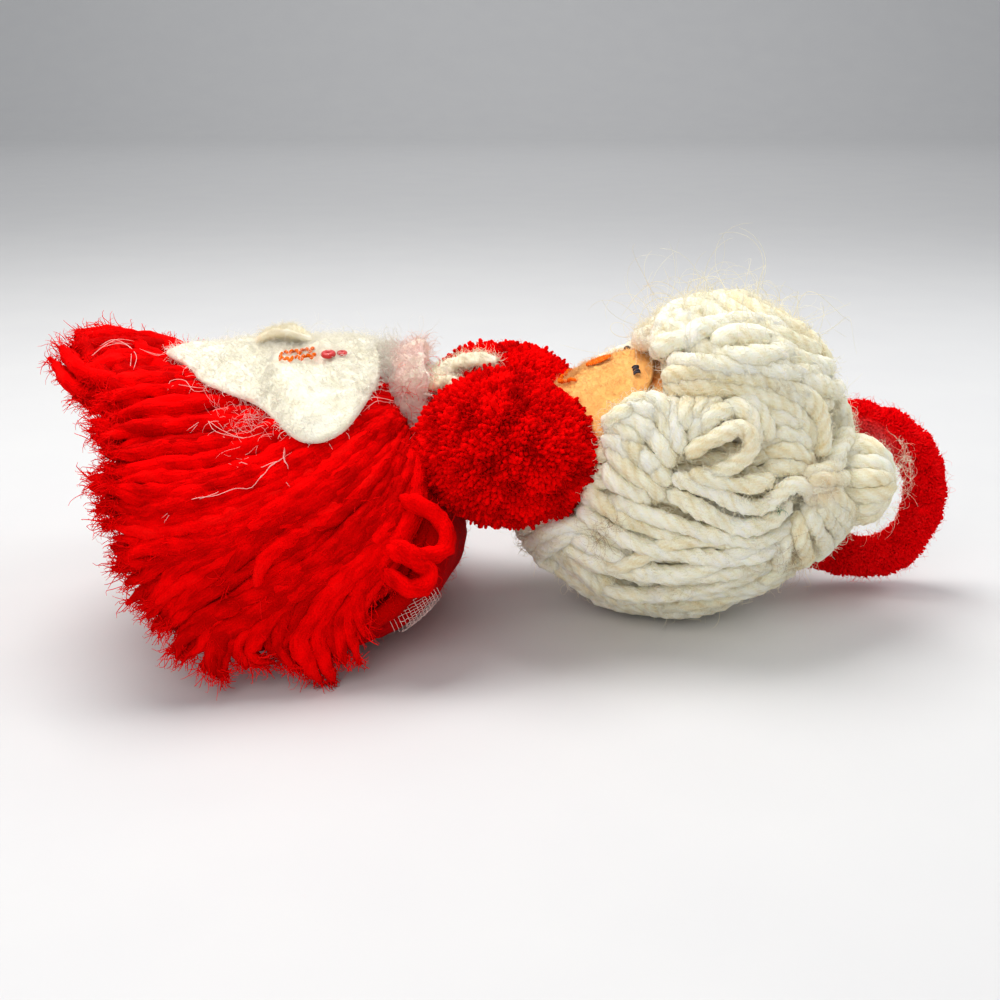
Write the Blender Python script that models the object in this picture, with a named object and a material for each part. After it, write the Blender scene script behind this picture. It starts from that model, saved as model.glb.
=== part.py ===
"""Yarn doll ornament lying on its back, modelled in metres with +Z up.

The head points to +X, the face looks up and the doll's left side faces -Y.
The origin is on the floor under the middle of the doll.
"""
import math

import bmesh
import bpy
import numpy as np
from mathutils import Matrix, Vector, geometry
from mathutils.bvhtree import BVHTree

# Clearance between touching pieces
GAP = 0.0003

# Head ball and the wire that carries it
HEAD_X = 0.0245
HEAD_Z = 0.0217
HEAD_HALF_LENGTH = 0.0215
HEAD_HALF_WIDTH = 0.0175
HEAD_HALF_HEIGHT = 0.0160
STEM_RADIUS = 0.0015
STEM_HEAD_DEPTH = 0.0150
STEM_SKIRT_DEPTH = 0.0110

# Felt face and what is stitched on it
FELT_THICKNESS = 0.0010
EYE_RADIUS = 0.0010
EYE_SPREAD = 0.0062
NOSE_LENGTH = 0.0036
NOSE_WIDTH = 0.0030
NOSE_HEIGHT = 0.0010
MOUTH_WIDTH = 0.0070
MOUTH_THREAD_RADIUS = 0.00035

# Hair: plied wool yarn laid on the head
HAIR_YARN_RADIUS = 0.0022
HAIR_TURN_GAP = 0.00065
HAIR_THICKNESS = 0.0045
HAIR_LOCK_GAP = 0.0006
LOCK_CREST_SHARE = 1.15
ROLL_REACH = 0.0135
ROLL_HOLE = 0.0021
CURL_REACH = 0.0100
CURL_YARN_RADIUS = 0.0019
CURL_HOLE = 0.0008
CROWN_STRAND_RADIUS = 0.0017

# Topknot on the crown
BUN_RADIUS = 0.0062
BUN_YARN_RADIUS = 0.0013
BUN_TURN_GAP = 0.0005
BUN_NECK_RADIUS = 0.0026
BUN_NECK_LENGTH = 0.0004
BUN_Y = -0.0050
BUN_Z = 0.0192
TIE_THREAD_RADIUS = 0.0004
TIE_TURN_GAP = 0.0005
BUN_TIE_TURNS = 1.0
CHEST_TIE_TURNS = 2.5

# Chenille hanging loop and the two roots that hold it
LOOP_RADIUS = 0.0033
LOOP_REACH = 0.0160
LOOP_LOW_X = 0.0467
LOOP_LOW_Z = 0.0070
LOOP_HIGH_X = 0.0508
LOOP_HIGH_Z = 0.0270
LOOP_Y = 0.0070
ROOT_RADIUS = 0.0024

# Pompoms on both sides of the chest
POMPOM_X = 0.0007
POMPOM_Z = 0.0276
POMPOM_HALF_LENGTH = 0.0130
POMPOM_HALF_WIDTH = 0.0108
POMPOM_HALF_HEIGHT = 0.0108
POMPOM_LUMP = 0.0003

# Waist: the gathered yarn, and the felt band round it
WAIST_X = -0.0175
WAIST_LENGTH = 0.0068
GATHER_RADIUS = 0.0050
BAND_THICKNESS = 0.0014
BAND_FLARE = 0.0016

# Skirt: the stuffed felt body under the yarn, and the yarn locks over it
SKIRT_LENGTH = 0.0440
SKIRT_HALF_WIDTH = 0.0310
SKIRT_HEIGHT = 0.0420
WAIST_HEIGHT_SHARE = 5.0 / 7.0
WAIST_Z = SKIRT_HEIGHT * WAIST_HEIGHT_SHARE
LOCK_THICKNESS_WAIST = 0.0024
LOCK_THICKNESS_HEM = 0.0046
LOCK_GAP = 0.0006
LOCK_SEAT = 0.0005
EYELET_REACH = 0.0050
EYELET_YARN_RADIUS = 0.0013

# Felt apron and its trimmings, and the felt strap between the pompoms
APRON_THICKNESS = 0.0014
APRON_LIFT = 0.0019
PETAL_LENGTH = 0.0075
PETAL_WIDTH = 0.0050
PETAL_THICKNESS = 0.0010
PETAL_RISE = 0.0018
BEAD_RADIUS = 0.0011
SMALL_BEAD_RADIUS = 0.0007
STITCH_RADIUS = 0.00035
STITCH_LENGTH = 0.0048
STITCH_SPACING = 0.0016
STRAP_THICKNESS = 0.0011
STRAP_WIDTH = 0.0024
STRAP_LONG = 0.0105
STRAP_SHORT = 0.0058
STRAP_ROOT = 0.0040
STRAP_X = -0.0102
STRAP_SPREAD = 0.0058

# Scale at which pieces are cut, and the least share of a piece that a good cut leaves
CUT_SCALE = 1000.0
LEAST_KEPT_SHARE = 0.3

# Mesh steps
LOCKS_PER_SIDE = 8
HAIR_LOCKS = 6
SIDES = 8
FINE_SIDES = 6
THREAD_SIDES = 5
TURN_STEPS = 16
LOCK_STEPS = 8
STITCHES_PER_ROW = 7

# Base ribs from the top of the skirt round its left side to the floor. The shares are of
# SKIRT_LENGTH from the waist, of SKIRT_HALF_WIDTH and of SKIRT_HEIGHT from the floor.
BASE_WAIST_ANGLES = (90.0, 55.0, 25.0, 0.0, -25.0, -45.0, -66.0, -90.0)
BASE_SHOULDER_SHARES = ((0.14, 0.00, 0.830), (0.11, 0.28, 0.812), (0.05, 0.47, 0.775), (-0.03, 0.54, 0.730),
                        (-0.12, 0.57, 0.645), (-0.23, 0.54, 0.570), (-0.36, 0.42, 0.475), (-0.45, 0.00, 0.440))
BASE_FLANK_SHARES = ((0.46, 0.00, 0.775), (0.42, 0.39, 0.748), (0.35, 0.65, 0.685), (0.24, 0.81, 0.575),
                     (0.10, 0.88, 0.430), (-0.08, 0.88, 0.280), (-0.27, 0.76, 0.060), (-0.38, 0.00, -0.120))
BASE_END_SHARES = ((0.70, 0.00, 0.740), (0.65, 0.39, 0.708), (0.56, 0.65, 0.620), (0.51, 0.78, 0.470),
                   (0.47, 0.82, 0.290), (0.36, 0.82, 0.160), (0.20, 0.74, 0.040), (0.38, 0.00, -0.080))
HEM_SHARES = ((1.00, 0.00, 0.875), (0.965, 0.45, 0.828), (0.84, 0.78, 0.700), (0.78, 0.92, 0.510),
              (0.68, 0.95, 0.260), (0.49, 0.95, 0.085), (0.22, 0.90, 0.050))
LAST_LOCK_RIB = 5.1
# How far each lock's end stops short of the hem line, as a share of its length
RAGGED_SHARES = (0.00, 0.03, 0.00, 0.06, 0.02, 0.08, 0.00, 0.05, 0.03)
# Apron outline on the left side: share of the way to the hem, and rib number
APRON_EDGE_SHARES = ((0.05, 1.55), (0.17, 2.05), (0.28, 2.30), (0.38, 2.10), (0.45, 1.50), (0.54, 1.30),
                     (0.63, 1.10), (0.66, 0.80), (0.66, 0.45), (0.74, 0.25), (0.80, 0.00))
# Chenille arch seen from the left: shares of LOOP_REACH outwards and of the roots' distance upwards
ARCH_SHARES = ((0.0, 0.0), (0.30, -0.02), (0.62, -0.01), (0.88, 0.10), (1.0, 0.33), (0.99, 0.58),
               (0.84, 0.82), (0.56, 0.97), (0.28, 1.01), (0.0, 1.0))
# Face outline on the head: degrees from the crown, and degrees round from the middle of the face
FACE_OUTLINE = ((106.0, 0.0), (106.5, 14.0), (108.0, 26.0), (112.0, 37.0), (119.0, 46.0), (127.0, 52.0),
                (137.0, 53.0), (145.0, 45.0), (150.0, 28.0), (152.0, 0.0))

HEAD_CENTRE = np.array((HEAD_X, 0.0, HEAD_Z))
HEAD_SEMI = np.array((HEAD_HALF_LENGTH, HEAD_HALF_WIDTH, HEAD_HALF_HEIGHT))


def clear_scene():
    """Start from an empty file."""
    for item in list(bpy.data.objects):
        bpy.data.objects.remove(item, do_unlink=True)


def material(name, colour, roughness):
    """Plain dyed fibre."""
    made = bpy.data.materials.new(name)
    made.use_nodes = True
    shader = made.node_tree.nodes["Principled BSDF"]
    shader.inputs["Base Color"].default_value = (*colour, 1.0)
    shader.inputs["Roughness"].default_value = roughness
    shader.inputs["Metallic"].default_value = 0.0
    return made


def add_object(name, mesh_builder, look):
    """Turn a bmesh into a named, smooth object."""
    bmesh.ops.recalc_face_normals(mesh_builder, faces=mesh_builder.faces)
    mesh = bpy.data.meshes.new(name)
    mesh_builder.to_mesh(mesh)
    mesh_builder.free()
    mesh.shade_smooth()
    mesh.set_sharp_from_angle(angle=math.radians(50.0))
    item = bpy.data.objects.new(name, mesh)
    item.data.materials.append(look)
    bpy.context.scene.collection.objects.link(item)
    return item


def loft(name, rings, look):
    """Join equal rings into one closed skin, with a fan over each end."""
    builder = bmesh.new()
    loops = [[builder.verts.new(Vector(point)) for point in ring] for ring in rings]
    for low, high in zip(loops, loops[1:]):
        for index in range(len(low)):
            after = (index + 1) % len(low)
            builder.faces.new((low[index], low[after], high[after], high[index]))
    for loop in (loops[0], loops[-1]):
        middle = sum((vertex.co for vertex in loop), Vector()) / len(loop)
        centre = builder.verts.new(middle)
        for index in range(len(loop)):
            builder.faces.new((loop[index], loop[(index + 1) % len(loop)], centre))
    return add_object(name, builder, look)


def unit(vector):
    """Vector of length one."""
    return vector / np.linalg.norm(vector)


def path_frames(points, hint):
    """Tangent, side and up direction at each point, with up near the hint."""
    frames = []
    for index in range(len(points)):
        ahead = points[min(index + 1, len(points) - 1)]
        behind = points[max(index - 1, 0)]
        tangent = unit(ahead - behind)
        up = np.array(hint[index] if np.ndim(hint) == 2 else hint)
        side = unit(np.cross(up, tangent))
        frames.append((tangent, side, np.cross(tangent, side)))
    return frames


def tube(name, points, radius, look, hint=(0.0, 0.0, 1.0), sides=SIDES, round_ends=False):
    """Round cord along the points, with flat or round ends."""
    centres = [np.array(point) for point in points]
    radii = [radius] * len(centres)
    frames = path_frames(centres, hint)
    if round_ends:
        cap_angles = (75.0, 40.0)
        start = [(centres[0] - frames[0][0] * radius * math.sin(math.radians(angle)),
                  radius * math.cos(math.radians(angle)), frames[0]) for angle in cap_angles]
        end = [(centres[-1] + frames[-1][0] * radius * math.sin(math.radians(angle)),
                radius * math.cos(math.radians(angle)), frames[-1]) for angle in reversed(cap_angles)]
        centres = [item[0] for item in start] + centres + [item[0] for item in end]
        radii = [item[1] for item in start] + radii + [item[1] for item in end]
        frames = [item[2] for item in start] + frames + [item[2] for item in end]
    rings = []
    for centre, size, (_, side, up) in zip(centres, radii, frames):
        turn = [2.0 * math.pi * step / sides for step in range(sides)]
        rings.append([centre + size * (math.cos(angle) * side + math.sin(angle) * up) for angle in turn])
    return loft(name, rings, look)


def smooth_path(points, steps):
    """Catmull-Rom curve through the points."""
    points = [np.array(point) for point in points]
    ends = [2.0 * points[0] - points[1]] + points + [2.0 * points[-1] - points[-2]]
    line = []
    for index in range(1, len(ends) - 2):
        before, start, end, after = ends[index - 1:index + 3]
        for step in range(steps):
            share = step / steps
            line.append(0.5 * (2.0 * start + (end - before) * share
                               + (2.0 * before - 5.0 * start + 4.0 * end - after) * share ** 2
                               + (3.0 * start - before - 3.0 * end + after) * share ** 3))
    line.append(points[-1])
    return line


def ball(name, centre, semi, look, around=20, along=12, lump=0.0, seed=0.0):
    """Ellipsoid with its poles on X, and gentle lumps."""
    builder = bmesh.new()
    rows = []
    for row in range(1, along):
        polar = math.pi * row / along
        ring = []
        for column in range(around):
            turn = 2.0 * math.pi * column / around
            direction = np.array((math.cos(polar), math.sin(polar) * math.cos(turn),
                                  math.sin(polar) * math.sin(turn)))
            ripple = math.sin(5.0 * turn + seed) * math.sin(4.0 * polar + 2.0 * seed)
            ring.append(builder.verts.new(Vector(centre + direction * (semi + lump * ripple))))
        rows.append(ring)
    first = builder.verts.new(Vector(centre + np.array((semi[0], 0.0, 0.0))))
    last = builder.verts.new(Vector(centre - np.array((semi[0], 0.0, 0.0))))
    for low, high in zip(rows, rows[1:]):
        for index in range(around):
            after = (index + 1) % around
            builder.faces.new((low[index], low[after], high[after], high[index]))
    for index in range(around):
        after = (index + 1) % around
        builder.faces.new((first, rows[0][after], rows[0][index]))
        builder.faces.new((last, rows[-1][index], rows[-1][after]))
    return add_object(name, builder, look)


def grown_copy(item, distance):
    """Cutter: a copy of the piece grown by a clearance."""
    builder = bmesh.new()
    builder.from_mesh(item.data)
    bmesh.ops.triangulate(builder, faces=builder.faces)
    builder.normal_update()
    places = [vertex.co + vertex.normal * distance * vertex.calc_shell_factor() for vertex in builder.verts]
    for vertex, place in zip(builder.verts, places):
        vertex.co = place
    mesh = bpy.data.meshes.new(item.name + "_clearance")
    builder.to_mesh(mesh)
    builder.free()
    cutter = bpy.data.objects.new(mesh.name, mesh)
    bpy.context.scene.collection.objects.link(cutter)
    return cutter


def scaled_copy(item, factor):
    """Hidden copy of a piece with its mesh scaled."""
    mesh = item.data.copy()
    mesh.transform(Matrix.Scale(factor, 4))
    copy = bpy.data.objects.new(item.name + "_scaled", mesh)
    bpy.context.scene.collection.objects.link(copy)
    return copy


def cut_mesh(item, cutter, solver):
    """Mesh of the piece with one cutter taken away."""
    cut = item.modifiers.new("cut", "BOOLEAN")
    cut.operation = "DIFFERENCE"
    cut.solver = solver
    cut.object = cutter
    graph = bpy.context.evaluated_depsgraph_get()
    graph.update()
    mesh = bpy.data.meshes.new_from_object(item.evaluated_get(graph))
    item.modifiers.clear()
    return mesh


def closed_volume(mesh):
    """Volume of a mesh, or zero where it isn't closed."""
    builder = bmesh.new()
    builder.from_mesh(mesh)
    closed = all(len(edge.link_faces) == 2 for edge in builder.edges)
    volume = builder.calc_volume(signed=True) if closed else 0.0
    builder.free()
    return volume


def touches(item, cutter):
    """Whether the skins of two pieces cross."""
    trees = []
    for each in (item, cutter):
        builder = bmesh.new()
        builder.from_mesh(each.data)
        trees.append(BVHTree.FromBMesh(builder))
        builder.free()
    return bool(trees[0].overlap(trees[1]))


def carve(item, cutters):
    """Cut each cutter out of the piece and keep the largest body left.

    The cuts are made at CUT_SCALE, because their tolerances are too coarse for a piece this small. EXACT can
    still lose a piece where a cutter only grazes it, and MANIFOLD then makes the cut.
    """
    crossing = [cutter for cutter in cutters if touches(item, cutter)]
    if not crossing:
        return
    work = scaled_copy(item, CUT_SCALE)
    for cutter in crossing:
        tool = scaled_copy(cutter, CUT_SCALE)
        whole = closed_volume(work.data)
        before = work.data
        for solver in ("EXACT", "MANIFOLD"):
            work.data = before
            work.data = cut_mesh(work, tool, solver)
            keep_largest_body(work)
            if whole * LEAST_KEPT_SHARE < closed_volume(work.data) < whole:
                break
        bpy.data.objects.remove(tool, do_unlink=True)
    work.data.transform(Matrix.Scale(1.0 / CUT_SCALE, 4))
    item.data = work.data
    bpy.data.objects.remove(work, do_unlink=True)


def keep_largest_body(item):
    """Drop loose crumbs that a cut leaves."""
    builder = bmesh.new()
    builder.from_mesh(item.data)
    merge = GAP * CUT_SCALE / 400.0
    bmesh.ops.remove_doubles(builder, verts=builder.verts, dist=merge)
    bmesh.ops.dissolve_degenerate(builder, dist=merge, edges=builder.edges)
    left = set(builder.faces)
    bodies = []
    while left:
        queue = [left.pop()]
        body = list(queue)
        while queue:
            face = queue.pop()
            for edge in face.edges:
                for other in edge.link_faces:
                    if other in left:
                        left.remove(other)
                        queue.append(other)
                        body.append(other)
        bodies.append(body)
    bodies.sort(key=len)
    crumbs = [face for body in bodies[:-1] for face in body]
    if crumbs:
        bmesh.ops.delete(builder, geom=crumbs, context="FACES")
    loose = [vertex for vertex in builder.verts if not vertex.link_faces]
    bmesh.ops.delete(builder, geom=loose, context="VERTS")
    bmesh.ops.triangulate(builder, faces=builder.faces)
    builder.to_mesh(item.data)
    builder.free()
    item.data.shade_smooth()
    item.data.set_sharp_from_angle(angle=math.radians(50.0))


def sheet(name, outline, spacing, place, thickness, look):
    """Felt cut to an outline in two parameters and laid on a surface.

    The function place gives the point of the felt's lower face and its outward direction.
    """
    edge = [Vector(point) for point in outline]
    low = Vector((min(point.x for point in edge), min(point.y for point in edge)))
    high = Vector((max(point.x for point in edge), max(point.y for point in edge)))
    inner = []
    columns = max(2, round((high.x - low.x) / spacing[0]))
    rows = max(2, round((high.y - low.y) / spacing[1]))
    for column in range(1, columns):
        for row in range(1, rows):
            spot = Vector((low.x + (high.x - low.x) * column / columns,
                           low.y + (high.y - low.y) * row / rows))
            if inside_with_margin(spot, edge, spacing):
                inner.append(spot)
    points = edge + inner
    closed = [list(range(len(edge)))]
    flat, _, faces, _, _, _ = geometry.delaunay_2d_cdt(points, [], closed, 1, spacing[0] * 1e-4)
    builder = bmesh.new()
    lower = []
    upper = []
    for spot in flat:
        base, outward = place(spot.x, spot.y)
        lower.append(builder.verts.new(Vector(base)))
        upper.append(builder.verts.new(Vector(base + outward * thickness)))
    border = {}
    for face in faces:
        builder.faces.new([upper[index] for index in face])
        builder.faces.new([lower[index] for index in reversed(face)])
        for index, start in enumerate(face):
            end = face[(index + 1) % len(face)]
            border[(start, end)] = (end, start) not in border
            if not border[(start, end)]:
                border[(end, start)] = False
    for (start, end), single in border.items():
        if single:
            builder.faces.new((upper[end], upper[start], lower[start], lower[end]))
    return add_object(name, builder, look)


def inside_with_margin(spot, edge, spacing):
    """Whether a point lies inside the outline and not close to it."""
    crossings = 0
    for start, end in zip(edge, edge[1:] + edge[:1]):
        if (start.y > spot.y) != (end.y > spot.y):
            across = start.x + (end.x - start.x) * (spot.y - start.y) / (end.y - start.y)
            crossings += across > spot.x
        along = Vector(((end.x - start.x) / spacing[0], (end.y - start.y) / spacing[1]))
        away = Vector(((spot.x - start.x) / spacing[0], (spot.y - start.y) / spacing[1]))
        share = max(0.0, min(1.0, away.dot(along) / max(along.length_squared, 1e-12)))
        if (away - along * share).length < 0.35:
            return False
    return crossings % 2 == 1


def head_point(direction, height):
    """Point over the head ball in a unit direction, at a height above its surface."""
    return HEAD_CENTRE + direction * (HEAD_SEMI + height)


def head_direction(polar, turn):
    """Unit direction from degrees off the crown and degrees round from the doll's right side."""
    polar = math.radians(polar)
    turn = math.radians(turn)
    return np.array((math.cos(polar), math.sin(polar) * math.cos(turn), math.sin(polar) * math.sin(turn)))


def spiral_on_head(middle, hole, reach, radius, layers):
    """Flat spiral of yarn on the head, winding out and, with two layers, back in on top."""
    mean = sum(HEAD_SEMI) / 3.0
    first = unit(np.cross(middle, (0.0, 0.0, 1.0) if abs(middle[2]) < 0.8 else (1.0, 0.0, 0.0)))
    second = np.cross(middle, first)
    pitch = 2.0 * radius + HAIR_TURN_GAP
    turns = (reach - radius - hole - radius) / pitch
    low = radius + GAP
    step_up = 2.0 * radius + HAIR_TURN_GAP
    steps = max(8, round(turns * TURN_STEPS))
    route = [(hole + radius + pitch * turns * step / steps, turns * step / steps, low) for step in range(steps + 1)]
    if layers == 2:
        climb = TURN_STEPS // 2
        outer = route[-1][0]
        route += [(outer, turns + 0.5 * step / climb, low + step_up * step / climb) for step in range(1, climb + 1)]
        route += [(outer - pitch * turns * step / steps, turns + 0.5 + turns * step / steps, low + step_up)
                  for step in range(1, steps + 1)]
    points = []
    normals = []
    for distance, turn, height in route:
        angle = distance / mean
        spin = 2.0 * math.pi * turn
        direction = math.cos(angle) * middle + math.sin(angle) * (math.cos(spin) * first + math.sin(spin) * second)
        points.append(head_point(direction, height))
        normals.append(direction)
    return points, normals


def least_gap(points, radius, near):
    """Least distance between the skins of far stretches of one cord."""
    places = np.array(points)
    best = float("inf")
    for index in range(len(places) - near):
        away = np.linalg.norm(places[index + near:] - places[index], axis=1)
        best = min(best, float(away.min()) - 2.0 * radius)
    return best


def report_gap(name, points, radius):
    """Print the least gap of a wound cord to itself."""
    print(f"{name}: least gap to itself {least_gap(points, radius, TURN_STEPS // 2) * 1000.0:.2f} mm")


def tie_length(turns):
    """Room that a thread tie takes along the wire."""
    return turns * (2.0 * TIE_THREAD_RADIUS + TIE_TURN_GAP) + 2.0 * (TIE_THREAD_RADIUS + GAP)


def stem_path():
    """Wire from the skirt through waist and chest into the head."""
    tie_end = WAIST_X + WAIST_LENGTH + tie_length(CHEST_TIE_TURNS)
    return smooth_path(((WAIST_X - STEM_SKIRT_DEPTH, 0.0, WAIST_Z), (WAIST_X, 0.0, WAIST_Z),
                        (WAIST_X + WAIST_LENGTH, 0.0, WAIST_Z), (tie_end, 0.0, WAIST_Z),
                        (POMPOM_X + POMPOM_HALF_LENGTH * 0.15, 0.0, POMPOM_Z),
                        (HEAD_X - HEAD_HALF_LENGTH + STEM_HEAD_DEPTH, 0.0, HEAD_Z)), 3)


def make_stem(looks):
    """The wire itself and the cutter for the holes it sits in."""
    path = stem_path()
    stem = tube("spine_stem", path, STEM_RADIUS, looks["wire"], hint=(0.0, 1.0, 0.0))
    first = path[0] + unit(path[0] - path[1]) * GAP
    last = path[-1] + unit(path[-1] - path[-2]) * GAP
    bore = tube("stem_bore", [first] + path[1:-1] + [last], STEM_RADIUS + GAP, looks["wire"], hint=(0.0, 1.0, 0.0))
    return stem, bore


def make_pompom(name, side, looks):
    """One round pompom, flat where it meets its twin."""
    semi = np.array((POMPOM_HALF_LENGTH, POMPOM_HALF_WIDTH, POMPOM_HALF_HEIGHT))
    centre = np.array((POMPOM_X, side * (POMPOM_HALF_WIDTH + GAP), POMPOM_Z))
    item = ball(name, centre, semi, looks["red"], around=16, along=10, lump=POMPOM_LUMP, seed=side)
    for vertex in item.data.vertices:
        vertex.co.y = side * max(side * vertex.co.y, GAP * 0.5)
    return item


def pompom_top(x, y):
    """Height of the pompoms' skin above the floor at a place in plan."""
    heights = []
    for side in (-1.0, 1.0):
        across = (y - side * (POMPOM_HALF_WIDTH + GAP)) / POMPOM_HALF_WIDTH
        along = (x - POMPOM_X) / POMPOM_HALF_LENGTH
        left = max(0.0, 1.0 - across ** 2 - along ** 2)
        heights.append(POMPOM_Z + (POMPOM_HALF_HEIGHT + POMPOM_LUMP) * math.sqrt(left))
    return max(heights)


def make_head(looks, stem_bore):
    """Head ball with the wire's hole, and the felt face with its features."""
    core = ball("head_core", HEAD_CENTRE, HEAD_SEMI, looks["peach"], around=20, along=12)
    carve(core, [stem_bore])
    return core


def face_place(polar, turn):
    """Lower side of the face felt and the way out, from face degrees."""
    direction = head_direction(polar, 90.0 + turn)
    base = head_point(direction, GAP * 1.5)
    return base, unit(direction / HEAD_SEMI)


def make_face(looks, cutters):
    """Felt face, eyes, nose and mouth."""
    left = smooth_path([(*spot, 0.0) for spot in FACE_OUTLINE], 3)
    outline = [(spot[0], spot[1]) for spot in left]
    outline += [(spot[0], -spot[1]) for spot in reversed(left[1:-1])]
    felt = sheet("face_felt", outline, (12.0, 22.0), face_place, FELT_THICKNESS, looks["peach"])
    carve(felt, cutters)
    spread = math.degrees(EYE_SPREAD / (HEAD_HALF_WIDTH + FELT_THICKNESS))
    top = GAP * 2.5 + FELT_THICKNESS
    for name, turn in (("eye_left", spread), ("eye_right", -spread)):
        direction = head_direction(107.0, 90.0 + turn)
        centre = head_point(direction, top + EYE_RADIUS * 0.6)
        semi = np.array((EYE_RADIUS, EYE_RADIUS, EYE_RADIUS * 0.6))
        ball(name, centre, semi, looks["black"], around=8, along=5)
    direction = head_direction(120.0, 90.0)
    outward = unit(direction / HEAD_SEMI)
    side = np.array((0.0, 1.0, 0.0))
    along = np.cross(side, outward)
    centre = head_point(direction, top + NOSE_HEIGHT * 0.5)
    rings = []
    for level in (-0.5, -0.2, 0.2, 0.5):
        size = math.sqrt(1.0 - (1.6 * level) ** 2)
        turns = [2.0 * math.pi * step / 12 for step in range(12)]
        rings.append([centre + outward * level * NOSE_HEIGHT + along * size * NOSE_LENGTH * 0.5 * math.cos(turn)
                      + side * size * NOSE_WIDTH * 0.5 * math.sin(turn) for turn in turns])
    loft("nose", rings, looks["orange"])
    half = math.degrees(MOUTH_WIDTH * 0.5 / HEAD_HALF_WIDTH)
    smile = []
    for share in (-1.0, -0.7, -0.35, 0.0, 0.35, 0.7, 1.0):
        direction = head_direction(135.0 - 7.0 * share ** 2, 90.0 + half * share)
        smile.append(head_point(direction, top + MOUTH_THREAD_RADIUS))
    tube("mouth_stitch", smile, MOUTH_THREAD_RADIUS, looks["orange"], sides=FINE_SIDES)


def make_spirals(looks):
    """Forehead roll and a curl over each ear, each one unbroken yarn."""
    roll_middle = head_direction(62.0, 90.0)
    points, normals = spiral_on_head(roll_middle, ROLL_HOLE, ROLL_REACH, HAIR_YARN_RADIUS, 2)
    report_gap("forehead_roll", points, HAIR_YARN_RADIUS)
    tube("forehead_roll", points, HAIR_YARN_RADIUS, looks["cream"], hint=normals, sides=FINE_SIDES)
    curls = []
    for name, turn in (("side_curl_left", 166.0), ("side_curl_right", 14.0)):
        middle = head_direction(83.0, turn)
        between = math.acos(float(np.dot(middle, roll_middle))) * sum(HEAD_SEMI) / 3.0
        reach = min(CURL_REACH, between - ROLL_REACH - HAIR_TURN_GAP)
        points, normals = spiral_on_head(middle, CURL_HOLE, reach, CURL_YARN_RADIUS, 1)
        report_gap(name, points, CURL_YARN_RADIUS)
        curls.append(tube(name, points, CURL_YARN_RADIUS, looks["cream"], hint=normals, sides=FINE_SIDES))
    return curls


def strip_section(count, lobes):
    """Across share and height share round the section of a lock lying on a surface."""
    outer = []
    for step in range(count + 1):
        across = -1.0 + 2.0 * step / count
        bulge = math.sqrt(max(0.0, 1.0 - 0.75 * across ** 2))
        furrow = 0.12 * (1.0 - math.cos(math.pi * lobes * (across + 1.0))) - 0.12
        outer.append((across, bulge + furrow * (1.0 - abs(across) ** 6)))
    inner = [(across, 0.0) for across in (0.8, 0.0, -0.8)]
    return outer + inner


def hair_strip(name, polars, turns, looks, cutters):
    """Lock of yarn on the head between two angles off the crown and two round the head."""
    middle = (turns[0] + turns[1]) * 0.5
    half = (turns[1] - turns[0] - math.degrees(HAIR_LOCK_GAP / HEAD_HALF_WIDTH)) * 0.5
    rings = []
    for step in range(LOCK_STEPS + 1):
        share = step / LOCK_STEPS
        polar = polars[0] + (polars[1] - polars[0]) * share
        swell = 0.55 + 0.45 * math.sin(math.pi * (0.12 + 0.88 * share))
        rings.append([head_point(head_direction(polar, middle + across * half),
                                 GAP + HAIR_THICKNESS * swell * max(0.0, height))
                      for across, height in strip_section(4, 2)])
    item = loft(name, rings, looks["cream"])
    for vertex in item.data.vertices:
        vertex.co.z = max(vertex.co.z, 0.0)
    carve(item, cutters)


def make_hair_locks(looks, cutters):
    """Locks swept from the crown round the back of the head to the neck, and one over each cheek."""
    first_turn = 199.0
    last_turn = 341.0
    width = (last_turn - first_turn) / HAIR_LOCKS
    for index in range(HAIR_LOCKS):
        start = first_turn + width * index
        hair_strip(f"hair_lock_{index + 1}", (24.0, 152.0), (start, start + width), looks, cutters)
    hair_strip("cheek_lock_left", (114.0, 150.0), (156.0, first_turn), looks, cutters)
    hair_strip("cheek_lock_right", (114.0, 150.0), (last_turn - 360.0, 24.0), looks, cutters)


def make_crown_strands(looks, cutters):
    """Yarns that run from the forehead roll over the crown down to the topknot's tie."""
    for name, start, end in (("crown_strand_1", (23.0, 132.0), (27.0, 184.0)),
                             ("crown_strand_2", (36.0, 142.0), (39.5, 190.0)),
                             ("crown_strand_3", (48.0, 147.0), (52.0, 191.0)),
                             ("crown_strand_4", (48.0, 33.0), (52.0, -11.0))):
        points = []
        normals = []
        for step in range(9):
            share = step / 8
            direction = head_direction(start[0] + (end[0] - start[0]) * share,
                                       start[1] + (end[1] - start[1]) * share)
            points.append(head_point(direction, CROWN_STRAND_RADIUS + GAP))
            normals.append(direction)
        item = tube(name, points, CROWN_STRAND_RADIUS, looks["cream"], hint=normals, sides=FINE_SIDES,
                    round_ends=True)
        carve(item, cutters)


def crown_x(y, z):
    """Where the head ball's crown lies at a place seen from the end."""
    across = (y - HEAD_CENTRE[1]) / HEAD_HALF_WIDTH
    up = (z - HEAD_Z) / HEAD_HALF_HEIGHT
    return HEAD_X + HEAD_HALF_LENGTH * math.sqrt(max(0.0, 1.0 - across ** 2 - up ** 2))


def around_x(centre, x, radius, count):
    """Ring of points square to the X axis."""
    turns = [2.0 * math.pi * step / count for step in range(count)]
    return [centre + np.array((x, radius * math.cos(turn), radius * math.sin(turn))) for turn in turns]


def topknot_seat():
    """Middle of the topknot's foot, just clear of the crown."""
    rim = [(BUN_Y + BUN_NECK_RADIUS * math.cos(turn), BUN_Z + BUN_NECK_RADIUS * math.sin(turn))
           for turn in (2.0 * math.pi * step / 12 for step in range(12))]
    return np.array((max(crown_x(y, z) for y, z in rim) + GAP, BUN_Y, BUN_Z))


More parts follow.
